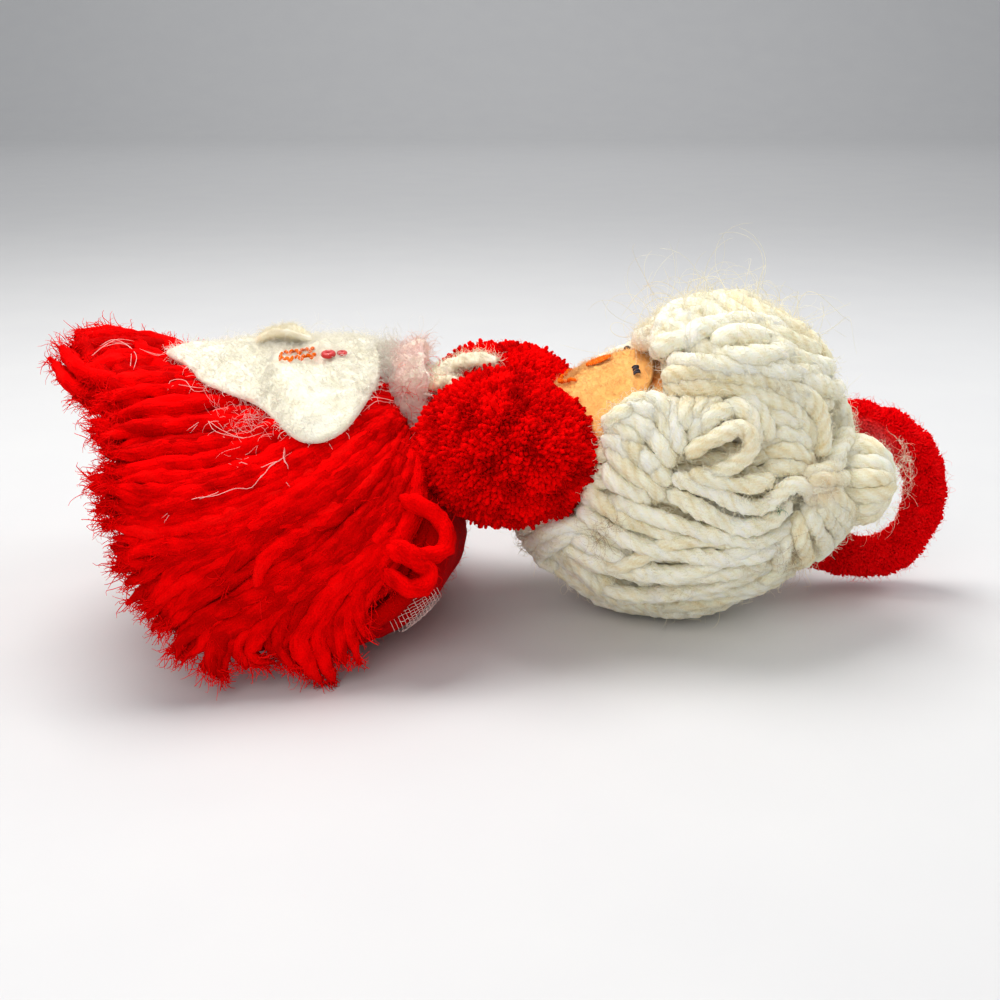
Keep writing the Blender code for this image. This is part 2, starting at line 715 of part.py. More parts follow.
def make_neck_room(looks):
    """Cutter that keeps the hair clear of the topknot's neck and tie."""
    foot = topknot_seat()
    reach = BUN_NECK_RADIUS + 2.0 * (GAP + TIE_THREAD_RADIUS)
    rings = [around_x(foot, x, reach, 16) for x in (-BUN_RADIUS, BUN_RADIUS)]
    return loft("neck_room", rings, looks["cream"])


def make_topknot(looks):
    """Yarn bun on a short neck, its winding and its tie."""
    foot = topknot_seat()
    ball_radius = BUN_RADIUS - 2.0 * BUN_YARN_RADIUS - GAP
    middle = BUN_NECK_LENGTH + BUN_RADIUS
    rings = [around_x(foot, 0.0, BUN_NECK_RADIUS, 12), around_x(foot, BUN_NECK_LENGTH, BUN_NECK_RADIUS, 12)]
    start = math.asin(min(0.9, BUN_NECK_RADIUS / ball_radius)) + 0.25
    for step in range(8):
        angle = start + (math.pi - start - 0.25) * step / 7
        rings.append(around_x(foot, middle - ball_radius * math.cos(angle), ball_radius * math.sin(angle), 12))
    loft("topknot_core", rings, looks["cream"])
    wound = BUN_RADIUS - BUN_YARN_RADIUS
    pitch_angle = (2.0 * BUN_YARN_RADIUS + BUN_TURN_GAP) / wound
    low = math.asin(min(0.95, (BUN_NECK_RADIUS + BUN_YARN_RADIUS + GAP) / wound)) + 0.05
    high = math.pi - 0.42
    turns = (high - low) / pitch_angle
    steps = round(turns * TURN_STEPS * 0.8)
    points = []
    normals = []
    for step in range(steps + 1):
        share = step / steps
        polar = low + (high - low) * share
        spin = 2.0 * math.pi * turns * share
        direction = np.array((-math.cos(polar), math.sin(polar) * math.cos(spin), math.sin(polar) * math.sin(spin)))
        points.append(foot + np.array((middle, 0.0, 0.0)) + direction * wound)
        normals.append(direction)
    report_gap("topknot_winding", points, BUN_YARN_RADIUS)
    tube("topknot_winding", points, BUN_YARN_RADIUS, looks["cream"], hint=normals, sides=FINE_SIDES)
    make_tie("topknot_tie", foot, BUN_NECK_RADIUS, TIE_THREAD_RADIUS + GAP, BUN_TIE_TURNS, looks)


def make_tie(name, foot, radius, offset, turns, looks):
    """Thread wound round a neck along X."""
    pitch = 2.0 * TIE_THREAD_RADIUS + TIE_TURN_GAP
    round_radius = radius + GAP + TIE_THREAD_RADIUS
    steps = round(turns * 11)
    points = []
    normals = []
    for step in range(steps + 1):
        share = step / steps
        spin = 2.0 * math.pi * turns * share
        outward = np.array((0.0, math.cos(spin), math.sin(spin)))
        points.append(foot + np.array((offset + pitch * turns * share, 0.0, 0.0)) + outward * round_radius)
        normals.append(outward)
    report_gap(name, points, TIE_THREAD_RADIUS)
    tube(name, points, TIE_THREAD_RADIUS, looks["thread"], hint=normals, sides=THREAD_SIDES)


def loop_frame():
    """Lower and upper root of the hanging loop, and the directions out and up between them."""
    low = np.array((LOOP_LOW_X, LOOP_Y, LOOP_LOW_Z))
    high = np.array((LOOP_HIGH_X, LOOP_Y, LOOP_HIGH_Z))
    up = unit(high - low)
    out = np.cross(np.array((0.0, 1.0, 0.0)), up)
    return low, high, out, up


def make_hanger(looks):
    """Chenille arch on its bending axis, and a fixed root at each end."""
    low, high, out, _ = loop_frame()
    route = [low + out * LOOP_REACH * share_out + (high - low) * share_up for share_out, share_up in ARCH_SHARES]
    hinge = bpy.data.objects.new("hanger_bend_axis", None)
    hinge.location = Vector(low)
    bpy.context.scene.collection.objects.link(hinge)
    arch = tube("hanger_loop", smooth_path(route, 3), LOOP_RADIUS, looks["red"], hint=(0.0, 1.0, 0.0),
                round_ends=True)
    arch.parent = hinge
    arch.matrix_parent_inverse = hinge.matrix_world.inverted()
    for vertex in arch.data.vertices:
        vertex.co -= Vector(low)
    roots = []
    for name, end in (("hanger_root_lower", low), ("hanger_root_upper", high)):
        outer = end - out * (LOOP_RADIUS + GAP)
        inward = outer - HEAD_CENTRE
        inner = HEAD_CENTRE + inward / np.linalg.norm(inward / HEAD_SEMI) - unit(inward) * ROOT_RADIUS
        knee = outer - out * ROOT_RADIUS * 0.5
        roots.append(tube(name, [inner, knee, outer], ROOT_RADIUS, looks["red"], hint=(0.0, 1.0, 0.0)))
    return arch, roots


def ring_x(count, x, radius, wave=0.0, flare=0.0, lobes=12):
    """Lobed ring round the waist axis, wider at the top by the flare."""
    ring = []
    for step in range(count):
        turn = 2.0 * math.pi * step / count
        size = radius + wave * math.cos(lobes * turn) + flare * max(0.0, math.sin(turn)) ** 2
        ring.append(np.array((x, size * math.cos(turn), WAIST_Z + size * math.sin(turn))))
    return ring


def hollow_loft(name, outer, inner, look):
    """Closed sleeve between an outer and an inner row of rings."""
    builder = bmesh.new()
    rings = outer + list(reversed(inner))
    loops = [[builder.verts.new(Vector(point)) for point in ring] for ring in rings]
    for low, high in zip(loops, loops[1:] + loops[:1]):
        for index in range(len(low)):
            after = (index + 1) % len(low)
            builder.faces.new((low[index], low[after], high[after], high[index]))
    return add_object(name, builder, look)


def make_waist(looks):
    """Gathered yarn round the wire, the felt band over it and the chest tie."""
    start = WAIST_X
    end = WAIST_X + WAIST_LENGTH
    bore = STEM_RADIUS + GAP
    stations = [start + WAIST_LENGTH * share for share in (0.0, 1.0)]
    wave = GATHER_RADIUS * 0.05
    hollow_loft("skirt_gather", [ring_x(36, x, GATHER_RADIUS - wave, wave) for x in stations],
                [ring_x(36, x, bore) for x in stations], looks["red"])
    inner = GATHER_RADIUS + GAP
    outer = inner + BAND_THICKNESS
    shares = (0.0, 0.4, 0.75, 1.0)
    hollow_loft("waist_band",
                [ring_x(18, start + WAIST_LENGTH * share, outer, flare=BAND_FLARE * share ** 2) for share in shares],
                [ring_x(18, start + WAIST_LENGTH * share, inner, flare=BAND_FLARE * share ** 2) for share in shares],
                looks["white"])
    foot = np.array((end, 0.0, WAIST_Z))
    make_tie("chest_tie", foot, STEM_RADIUS, TIE_THREAD_RADIUS + GAP, CHEST_TIE_TURNS, looks)
    room = [ring_x(32, x, outer + GAP, flare=BAND_FLARE) for x in (start - GAP, end + GAP)]
    band_room = loft("band_room", room, looks["white"])
    tie_reach = STEM_RADIUS + 2.0 * (GAP + TIE_THREAD_RADIUS)
    tie_end = end + tie_length(CHEST_TIE_TURNS) + GAP
    tie_room = loft("tie_room", [ring_x(16, x, tie_reach) for x in (end, tie_end)], looks["white"])
    return band_room, tie_room


def skirt_place(shares, side):
    """World point from shares of the skirt's sizes."""
    return np.array((WAIST_X - shares[0] * SKIRT_LENGTH, side * shares[1] * SKIRT_HALF_WIDTH,
                     shares[2] * SKIRT_HEIGHT))


def blend_rows(rows, rib):
    """Row of a rib table at a rib number between two whole ones, along a smooth curve."""
    low = max(0, min(len(rows) - 2, int(math.floor(rib))))
    share = rib - low
    picks = [rows[max(0, min(len(rows) - 1, low + offset))] for offset in (-1, 0, 1, 2)]
    if low == 0:
        picks[0] = (rows[1][0], -rows[1][1], rows[1][2])
    before, start, end, after = (np.array(pick, dtype=float) for pick in picks)
    return 0.5 * (2.0 * start + (end - before) * share
                  + (2.0 * before - 5.0 * start + 4.0 * end - after) * share ** 2
                  + (3.0 * start - before - 3.0 * end + after) * share ** 3)


def base_point(along, rib):
    """Skin of the felt body at a share of its length and a rib number; a minus sign is the far side."""
    side = -1.0 if rib >= 0.0 else 1.0
    rib = abs(rib)
    angle_rows = [(angle, 0.0, 0.0) for angle in BASE_WAIST_ANGLES]
    low = max(0, min(len(angle_rows) - 2, int(math.floor(rib))))
    angle = math.radians(BASE_WAIST_ANGLES[low] + (BASE_WAIST_ANGLES[low + 1] - BASE_WAIST_ANGLES[low]) * (rib - low))
    radius = GATHER_RADIUS - GAP
    waist = np.array((WAIST_X - GAP, side * radius * math.cos(angle), WAIST_Z + radius * math.sin(angle)))
    shoulder = skirt_place(blend_rows(BASE_SHOULDER_SHARES, rib), side)
    flank = skirt_place(blend_rows(BASE_FLANK_SHARES, rib), side)
    end = skirt_place(blend_rows(BASE_END_SHARES, rib), side)
    rest = 1.0 - along
    return (rest ** 3 * waist + 3.0 * rest ** 2 * along * shoulder + 3.0 * rest * along ** 2 * flank
            + along ** 3 * end)


def surface_normal(surface, along, rib):
    """Outward normal of a skirt surface by small differences."""
    small = 0.02
    run = surface(min(1.0, along + small), rib) - surface(max(0.0, along - small), rib)
    across = surface(along, rib + small) - surface(along, rib - small)
    return unit(np.cross(run, across))


def make_base(looks, cutters):
    """Stuffed felt body of the skirt, flat where it rests."""
    per_side = 12
    last_rib = len(BASE_WAIST_ANGLES) - 1
    ribs = [last_rib * step / per_side for step in range(per_side)]
    ribs += [-last_rib * step / per_side for step in range(per_side, 0, -1)]
    rings = []
    for step in range(11):
        along = step / 10
        rings.append([base_point(along, rib) for rib in ribs])
    middle = sum(rings[-1]) / len(rings[-1])
    rings.append([middle + (point - middle) * 0.6 for point in rings[-1]])
    item = loft("skirt_base", rings, looks["dark_red"])
    for vertex in item.data.vertices:
        vertex.co.z = max(vertex.co.z, 0.0)
    carve(item, cutters)
    return item


def lock_thickness(along):
    """Thickness of a yarn lock on its way from waist to hem."""
    return LOCK_THICKNESS_WAIST + (LOCK_THICKNESS_HEM - LOCK_THICKNESS_WAIST) * min(1.0, along * 1.4)


def lock_floor(along, rib):
    """Inner side of the yarn layer: over the felt body first, then on to the hem."""
    side = -1.0 if rib >= 0.0 else 1.0
    on_base = 0.03 + 0.92 * math.sin(0.5 * math.pi * min(along / 0.85, 1.0))
    skin = base_point(on_base, rib)
    skin = skin + surface_normal(base_point, on_base, rib) * LOCK_SEAT
    hem = skirt_place(blend_rows(HEM_SHARES, abs(rib)), side)
    pull = max(0.0, (along - 0.3) / 0.7) ** 1.6
    return skin + (hem - skin) * pull


def lock_place(along, rib, height):
    """Point in the yarn layer at a height over its inner side."""
    return lock_floor(along, rib) + surface_normal(lock_floor, along, rib) * height


def lock_ribs():
    """Rib numbers of all locks, from the far side over the top to the near side."""
    step = LAST_LOCK_RIB / LOCKS_PER_SIDE
    return [step * index for index in range(-LOCKS_PER_SIDE, LOCKS_PER_SIDE + 1)]


def make_locks(looks, cutters):
    """Cut yarn locks fanned from the waist over the felt body to a ragged hem."""
    ribs = lock_ribs()
    step_rib = ribs[1] - ribs[0]
    section = strip_section(6, 3)
    for index, rib in enumerate(ribs):
        ragged = RAGGED_SHARES[(index * 5) % len(RAGGED_SHARES)]
        rings = []
        for step in range(LOCK_STEPS + 1):
            along = (1.0 - ragged) * step / LOCK_STEPS
            width = np.linalg.norm(lock_floor(along, rib + step_rib * 0.5) - lock_floor(along, rib - step_rib * 0.5))
            half = step_rib * 0.5 * (1.0 - LOCK_GAP / width)
            thick = lock_thickness(along) * (1.0 if step < LOCK_STEPS else 0.75)
            rings.append([lock_place(along, rib + half * across, thick * height) for across, height in section])
        item = loft(f"skirt_lock_{index + 1:02d}", rings, looks["red"])
        for vertex in item.data.vertices:
            vertex.co.z = max(vertex.co.z, 0.0)
        carve(item, cutters)


def apron_place(along, rib):
    """Lower side of the apron, just over the yarn locks."""
    outward = surface_normal(lock_floor, along, rib)
    lift = 2.0 * GAP + APRON_LIFT * max(0.0, 1.0 - along / 0.3)
    return lock_floor(along, rib) + outward * (lock_thickness(along) * LOCK_CREST_SHARE + lift), outward


def make_apron(looks, cutters):
    """Felt apron over the front of the skirt."""
    left = smooth_path([(*spot, 0.0) for spot in APRON_EDGE_SHARES], 3)
    outline = [(spot[0], spot[1]) for spot in left]
    outline += [(spot[0], -spot[1]) for spot in reversed(left[:-1])]
    item = sheet("apron", outline, (0.09, 0.45), apron_place, APRON_THICKNESS, looks["white"])
    carve(item, cutters)


def make_apron_trim(looks):
    """Curled felt petal, stitches and beads on the apron."""
    def on_apron(along, rib, height):
        base, outward = apron_place(along, rib)
        return base + outward * (APRON_THICKNESS + GAP + height), outward

    spot, outward = on_apron(0.36, -0.80, 0.0)
    ahead = unit(on_apron(0.40, -0.80, 0.0)[0] - spot)
    across = np.cross(outward, ahead)

    def petal_place(along, side):
        bend = math.cos(math.pi * 0.5 * along) * PETAL_RISE
        base = spot + ahead * along * PETAL_LENGTH * 0.5 + across * side * PETAL_WIDTH * 0.5 + outward * bend
        return base, outward

    turns = [2.0 * math.pi * step / 20 for step in range(20)]
    outline = [(math.cos(turn), math.sin(turn)) for turn in turns]
    sheet("apron_petal", outline, (0.3, 0.5), petal_place, PETAL_THICKNESS, looks["cream"])
    points = []
    for step in range(2 * STITCHES_PER_ROW + 1):
        away = step - STITCHES_PER_ROW
        row = 0.0 if away < 0 else (1.0 if away > 0 else 0.5)
        zigzag = 0.25 * (1.0 if step % 2 else -1.0)
        along = 0.22 + STITCH_LENGTH / SKIRT_LENGTH * (1.0 - abs(away) / STITCHES_PER_ROW)
        rib = 0.48 + (row + zigzag) * STITCH_SPACING / SKIRT_HALF_WIDTH * 5.0
        points.append(on_apron(along, rib, STITCH_RADIUS)[0])
    tube("apron_stitching", points, STITCH_RADIUS, looks["orange"], sides=THREAD_SIDES)
    for name, along, rib, radius in (("apron_bead_large", 0.155, 0.85, BEAD_RADIUS),
                                     ("apron_bead_small", 0.10, 0.80, SMALL_BEAD_RADIUS)):
        centre = on_apron(along, rib, radius)[0]
        ball(name, centre, np.array((radius, radius, radius)), looks["red"], around=9, along=6)


def make_strap(looks):
    """Forked felt strap lying over the valley between the pompoms."""
    half = STRAP_WIDTH * 0.5
    fork = STRAP_X + STRAP_ROOT
    far = np.array((fork + STRAP_LONG, STRAP_SPREAD * 0.55))
    near = np.array((fork + STRAP_SHORT, -STRAP_SPREAD * 0.65))
    outline = [(STRAP_X, -half), (fork, -half * 1.2), (near[0] - half * 0.2, near[1] - half),
               (near[0] + half, near[1] - half * 0.2), (fork + STRAP_ROOT * 0.45, 0.0),
               (far[0] + half * 0.4, far[1] - half), (far[0], far[1] + half * 0.8),
               (fork, half * 1.4), (STRAP_X, half)]

    def strap_place(x, y):
        nearby = [pompom_top(x + dx * half, y + dy * half) for dx in (-1.0, 0.0, 1.0) for dy in (-1.0, 0.0, 1.0)]
        crest = WAIST_Z + GATHER_RADIUS * 0.85
        height = max(nearby + [crest]) + 2.0 * GAP
        return np.array((x, y, height)), np.array((0.0, 0.0, 1.0))

    sheet("chest_strap", outline, (STRAP_WIDTH * 0.5, STRAP_WIDTH * 0.4), strap_place, STRAP_THICKNESS,
          looks["cream"])


def make_eyelets(looks):
    """Two loops of yarn that stand out of the near side under the waist."""
    for name, along, rib, reach in (("skirt_eyelet_1", 0.30, 4.95, EYELET_REACH),
                                    ("skirt_eyelet_2", 0.41, 5.00, EYELET_REACH * 0.8)):
        outward = surface_normal(lock_floor, along, rib)
        foot = lock_place(along, rib, lock_thickness(along) + EYELET_YARN_RADIUS + GAP)
        ahead = unit(lock_floor(along + 0.05, rib) - lock_floor(along - 0.05, rib))
        side = np.cross(outward, ahead)
        points = []
        for step in range(17):
            turn = math.radians(-150.0 + 300.0 * step / 16)
            points.append(foot + side * reach * 0.5 * math.cos(turn) + ahead * reach * 0.62 * math.sin(turn))
        tube(name, points, EYELET_YARN_RADIUS, looks["red"], hint=outward, sides=FINE_SIDES)


def move_origin():
    """Set the doll down with the origin under its middle."""
    bpy.context.view_layer.update()
    pieces = [item for item in bpy.data.objects if item.type == "MESH"]
    places = np.array([item.matrix_world @ vertex.co for item in pieces for vertex in item.data.vertices])
    low = places.min(axis=0)
    high = places.max(axis=0)
    shift = Vector((-0.5 * (low[0] + high[0]), -0.5 * (low[1] + high[1]), -low[2]))
    for item in bpy.data.objects:
        if item.parent is None:
            item.location += shift


def main():
    """Build the doll."""
    clear_scene()
    looks = {
        "red": material("red_yarn", (0.80, 0.005, 0.005), 0.95),
        "dark_red": material("red_felt", (0.35, 0.004, 0.008), 0.95),
        "cream": material("cream_yarn", (0.80, 0.72, 0.52), 0.95),
        "white": material("white_felt", (0.85, 0.80, 0.72), 0.95),
        "peach": material("peach_felt", (0.90, 0.55, 0.25), 0.95),
        "orange": material("orange_thread", (0.85, 0.25, 0.05), 0.90),
        "black": material("black_thread", (0.02, 0.02, 0.03), 0.80),
        "thread": material("pale_thread", (0.75, 0.45, 0.30), 0.90),
        "wire": material("stem_wire", (0.45, 0.42, 0.40), 0.60),
    }
    _, stem_bore = make_stem(looks)
    band_room, tie_room = make_waist(looks)
    core = make_head(looks, stem_bore)
    core_room = grown_copy(core, GAP)
    pompoms = [make_pompom("pompom_left", -1.0, looks), make_pompom("pompom_right", 1.0, looks)]
    for item in pompoms:
        carve(item, [core_room, stem_bore, band_room, tie_room])
    pompom_rooms = [grown_copy(item, GAP) for item in pompoms]
    make_face(looks, pompom_rooms)
    curl_rooms = [grown_copy(item, GAP) for item in make_spirals(looks)]
    _, roots = make_hanger(looks)
    for item in roots:
        carve(item, [core_room])
    root_rooms = [grown_copy(item, GAP) for item in roots]
    neck_room = make_neck_room(looks)
    make_hair_locks(looks, pompom_rooms + root_rooms + curl_rooms + [neck_room])
    make_crown_strands(looks, [neck_room])
    make_topknot(looks)
    base = make_base(looks, [stem_bore, band_room])
    base_room = grown_copy(base, GAP * 0.9)
    make_locks(looks, [stem_bore, band_room, base_room] + pompom_rooms)
    make_apron(looks, [band_room])
    make_apron_trim(looks)
    make_strap(looks)
    make_eyelets(looks)
    cutters = [stem_bore, band_room, tie_room, core_room, neck_room, base_room]
    cutters += pompom_rooms + root_rooms + curl_rooms
    for cutter in cutters:
        bpy.data.objects.remove(cutter, do_unlink=True)
    move_origin()


main()
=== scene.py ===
"""Looks of the yarn doll: plied yarn, cut wool, felt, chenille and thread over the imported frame."""
import math

import bpy
import numpy as np
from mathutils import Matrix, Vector


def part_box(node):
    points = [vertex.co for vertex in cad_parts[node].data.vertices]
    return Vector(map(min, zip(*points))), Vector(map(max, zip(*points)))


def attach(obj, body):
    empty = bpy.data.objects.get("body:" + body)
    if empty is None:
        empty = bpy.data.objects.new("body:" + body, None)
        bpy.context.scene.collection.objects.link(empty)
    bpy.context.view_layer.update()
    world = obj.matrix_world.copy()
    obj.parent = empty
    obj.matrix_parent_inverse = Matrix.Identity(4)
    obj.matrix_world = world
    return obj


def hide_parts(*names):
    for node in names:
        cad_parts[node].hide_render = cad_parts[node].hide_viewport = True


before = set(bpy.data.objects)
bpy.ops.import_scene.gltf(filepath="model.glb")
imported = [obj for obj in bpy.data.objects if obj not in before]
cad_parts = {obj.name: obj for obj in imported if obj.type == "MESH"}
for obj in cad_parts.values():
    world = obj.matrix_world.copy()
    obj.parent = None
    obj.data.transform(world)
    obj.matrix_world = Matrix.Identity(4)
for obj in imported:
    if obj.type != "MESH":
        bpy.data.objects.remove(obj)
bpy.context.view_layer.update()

MM = 0.001

# The part's own frame before it was set down with its origin under its middle
SHIFT = np.array((-0.003298, 0.000037, 0.0))

# Camera of the photograph, whose frame is 1000 by 1000 pixels
CAMERA_PLACE = np.array((-0.0007, -0.1943, 0.0795)) + SHIFT
CAMERA_TILT = math.radians(72.0)
CAMERA_LENS = 49.46
SENSOR = 36.0
FRAME_SIZE = 1000.0
FOCAL = CAMERA_LENS / SENSOR * FRAME_SIZE

# Sizes of the frame's parts that the looks follow
GAP = 0.0003
HEAD_CENTRE = np.array((0.0245, 0.0, 0.0217)) + SHIFT
HEAD_SEMI = np.array((0.0215, 0.0175, 0.0160))
HAIR_CENTRE = np.array((0.0245, 0.0, 0.0220)) + SHIFT
HAIR_SEMI = np.array((0.0215, 0.0175, 0.0185))
POMPOM_SEMI = np.array((0.0130, 0.0108, 0.0108))
POMPOM_X = 0.0007
POMPOM_Z = 0.0276
WAIST_X = -0.0175
WAIST_Z = 0.0300
WAIST_LENGTH = 0.0068
GATHER_RADIUS = 0.0050
SKIRT_LENGTH = 0.0440
SKIRT_HALF_WIDTH = 0.0310
SKIRT_HEIGHT = 0.0420
LOCK_SEAT = 0.0005
LOOP_LOW = np.array((0.0467, 0.0070, 0.0070)) + SHIFT
LOOP_HIGH = np.array((0.0508, 0.0070, 0.0270)) + SHIFT
LOOP_REACH = 0.0160
LOOP_RADIUS = 0.0033
HAIR_MEAN_RADIUS = 0.0192
LOWEST = 0.00005            # least height of any vertex over the floor
APRON_THICK = 2.0 * MM
FACE_THICK = 1.15 * MM
PETAL_THICK = 1.1 * MM
TIE_RADIUS = 0.0004

WAIST_ANGLES = (90.0, 55.0, 25.0, 0.0, -25.0, -45.0, -66.0, -90.0)
SHOULDER = ((0.14, 0.00, 0.830), (0.11, 0.28, 0.812), (0.05, 0.47, 0.775), (-0.03, 0.54, 0.730),
            (-0.12, 0.57, 0.645), (-0.23, 0.54, 0.570), (-0.36, 0.42, 0.475), (-0.45, 0.00, 0.440))
FLANK = ((0.46, 0.00, 0.775), (0.42, 0.39, 0.748), (0.35, 0.65, 0.685), (0.24, 0.81, 0.575),
         (0.10, 0.88, 0.430), (-0.08, 0.88, 0.280), (-0.27, 0.76, 0.060), (-0.38, 0.00, -0.120))
END = ((0.70, 0.00, 0.740), (0.65, 0.39, 0.708), (0.56, 0.65, 0.620), (0.51, 0.78, 0.470),
       (0.47, 0.82, 0.290), (0.36, 0.82, 0.160), (0.20, 0.74, 0.040), (0.38, 0.00, -0.080))
HEM = ((1.00, 0.00, 0.875), (0.965, 0.45, 0.828), (0.84, 0.78, 0.700), (0.78, 0.92, 0.510),
       (0.68, 0.95, 0.260), (0.49, 0.95, 0.085), (0.22, 0.90, 0.050))
ARCH = ((0.0, 0.0), (0.30, -0.02), (0.62, -0.01), (0.88, 0.10), (1.0, 0.33), (0.99, 0.58),
        (0.84, 0.82), (0.56, 0.97), (0.28, 1.01), (0.0, 1.0))
FACE_OUTLINE = ((98.5, 0.0), (99.0, 14.0), (100.5, 27.0), (104.5, 40.0), (112.0, 51.0), (123.0, 58.5),
                (136.0, 59.0), (146.0, 49.0), (151.0, 30.0), (153.0, 0.0))


# ---- numbers and lines -------------------------------------------------------------------------
def unit(vectors):
    """Vectors of length one."""
    vectors = np.asarray(vectors, float)
    return vectors / np.maximum(np.linalg.norm(vectors, axis=-1, keepdims=True), 1e-12)


def around(count):
    """Even angles once round a circle."""
    return np.linspace(0.0, math.tau, count, endpoint=False)


def sphere(polar, turn):
    """Unit directions from the angle off +X and the angle round it."""
    return np.stack((np.cos(polar), np.sin(polar) * np.cos(turn), np.sin(polar) * np.sin(turn)), -1)


def ball_grid(rows, columns):
    """Directions all over a ball, in a grid whose columns join up."""
    pole = 0.03
    return sphere(*np.meshgrid(np.linspace(pole, math.pi - pole, rows), around(columns), indexing="ij"))


def ripple(places, size, seed):
    """Smooth pseudo-random value from about -1 to 1 at each place; size is the ripples' length."""
    waves = 7
    dice = np.random.default_rng(seed)
    directions = unit(dice.normal(size=(waves, np.shape(places)[-1])))
    lengths = size * dice.uniform(0.6, 1.6, waves)
    phases = dice.uniform(0.0, math.tau, waves)
    total = sum(np.sin(places @ direction * math.tau / length + phase)
                for direction, length, phase in zip(directions, lengths, phases))
    return total / math.sqrt(waves)


def spline(before, start, end, after, share):
    """Smooth curve from start to end at shares of the way, led by the points before and after."""
    return 0.5 * (2.0 * start + (end - before) * share
                  + (2.0 * before - 5.0 * start + 4.0 * end - after) * share ** 2
                  + (3.0 * start - before - 3.0 * end + after) * share ** 3)


def curve(points, spacing):
    """Smooth line through the points, with even steps."""
    points = np.asarray(points, float)
    ends = np.vstack((2.0 * points[0] - points[1], points, 2.0 * points[-1] - points[-2]))
    share = np.linspace(0.0, 1.0, 12, endpoint=False)[:, None]
    parts = [spline(*ends[index - 1:index + 3], share) for index in range(1, len(ends) - 2)]
    line = np.vstack(parts + [points[-1:]])
    run = np.concatenate(([0.0], np.cumsum(np.linalg.norm(np.diff(line, axis=0), axis=1))))
    even = np.linspace(0.0, run[-1], max(6, int(run[-1] / spacing) + 1))
    return np.column_stack([np.interp(even, run, line[:, axis]) for axis in range(line.shape[1])])


TILT_SINE, TILT_COSINE = math.sin(CAMERA_TILT), math.cos(CAMERA_TILT)


def photo_ray(spot):
    """Direction from the camera through a pixel of the photograph."""
    across = (spot[0] - FRAME_SIZE / 2.0) / FOCAL
    up = (FRAME_SIZE / 2.0 - spot[1]) / FOCAL
    return np.array((across, TILT_SINE + up * TILT_COSINE, up * TILT_SINE - TILT_COSINE))


def to_photo(places):
    """Pixels of the photograph where places appear."""
    away = places - CAMERA_PLACE
    depth = away[..., 1] * TILT_SINE - away[..., 2] * TILT_COSINE
    height = away[..., 1] * TILT_COSINE + away[..., 2] * TILT_SINE
    return np.stack((FRAME_SIZE / 2.0 + away[..., 0] / depth * FOCAL,
                     FRAME_SIZE / 2.0 - height / depth * FOCAL), axis=-1)


def on_ball(spots, centre, semi, heights):
    """Places over a ball that appear at pixels of the photograph, at a height over its skin."""
    places = []
    for spot, height in zip(spots, heights):
        size = semi + height
        origin = (CAMERA_PLACE - centre) / size
        way = photo_ray(spot) / size
        square, along, rest = way @ way, origin @ way, origin @ origin - 1.0
        inside = along ** 2 - square * rest
        if inside > 0.0:
            place = origin + way * (-along - math.sqrt(inside)) / square
        else:
            place = unit(origin - way * along / square)
        places.append(centre + place * size)
    return np.array(places)


def find_on(surface, spots, rows, columns):
    """Surface coordinates whose places appear nearest to pixels of the photograph."""
    first, second = np.meshgrid(np.linspace(*rows, 120), np.linspace(*columns, 160), indexing="ij")
    seen = to_photo(surface(first, second))
    found = []
    for spot in spots:
        away = np.linalg.norm(seen - np.array(spot, float), axis=-1)
        index = np.unravel_index(np.argmin(away), away.shape)
        found.append((first[index], second[index]))
    return np.array(found)


# ---- meshes ------------------------------------------------------------------------------------
class Soup:
    """Vertices and quads of many strands or sheets, made into one object at the end."""

    def __init__(self):
        self.points, self.quads, self.uvs, self.tints, self.grooves, self.outs = [], [], [], [], [], []
        self.count = 0

    def add(self, points, quads, uvs, tints, grooves, outs):
        self.points.append(points)
        self.quads.append(quads + self.count)
        self.uvs.append(uvs)
        self.tints.append(np.broadcast_to(tints, (len(points),)))
        self.grooves.append(np.broadcast_to(grooves, (len(points),)))
        self.outs.append(outs)
        self.count += len(points)

    def skin(self):
        """All vertices and the ways out at them."""
        return np.concatenate(self.points), np.concatenate(self.outs)

    def make(self, name, look, slot, body="doll", nodes=(), stains_and_painted_light=()):
        """The object, in place on its body, standing for its nodes."""
        points = np.concatenate(self.points).astype(np.float32)
        points[:, 2] = np.maximum(points[:, 2], LOWEST)
        quads = np.concatenate(self.quads).astype(np.int32)
        mesh = bpy.data.meshes.new(name)
        mesh.vertices.add(len(points))
        mesh.vertices.foreach_set("co", points.ravel())
        mesh.loops.add(len(quads) * 4)
        mesh.loops.foreach_set("vertex_index", quads.ravel())
        mesh.polygons.add(len(quads))
        mesh.polygons.foreach_set("loop_start", np.arange(0, len(quads) * 4, 4, dtype=np.int32))
        mesh.polygons.foreach_set("use_smooth", np.ones(len(quads), bool))
        layer = mesh.uv_layers.new(name="strand")
        layer.data.foreach_set("uv", np.concatenate(self.uvs).astype(np.float32).ravel())
        # Patches that blend towards the material's patch colour: real stains in some places, painted light or shade in
        # others.
        stain = np.zeros(len(points))
        for centre, radius, strength in stains_and_painted_light:
            away = np.linalg.norm(points - np.array(centre), axis=1) / radius
            stain = np.maximum(stain, strength * np.clip(1.2 - away, 0.0, 1.0))
        for title, values in (("tint", np.concatenate(self.tints)), ("groove", np.concatenate(self.grooves)),
                              ("stain", stain)):
            mesh.attributes.new(title, "FLOAT", "POINT").data.foreach_set("value", values.astype(np.float32))
        mesh.update(calc_edges=True)
        mesh.materials.append(look)
        item = bpy.data.objects.new(name, mesh)
        bpy.context.scene.collection.objects.link(item)
        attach(item, body)
        if nodes:
            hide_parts(*nodes)
        return item


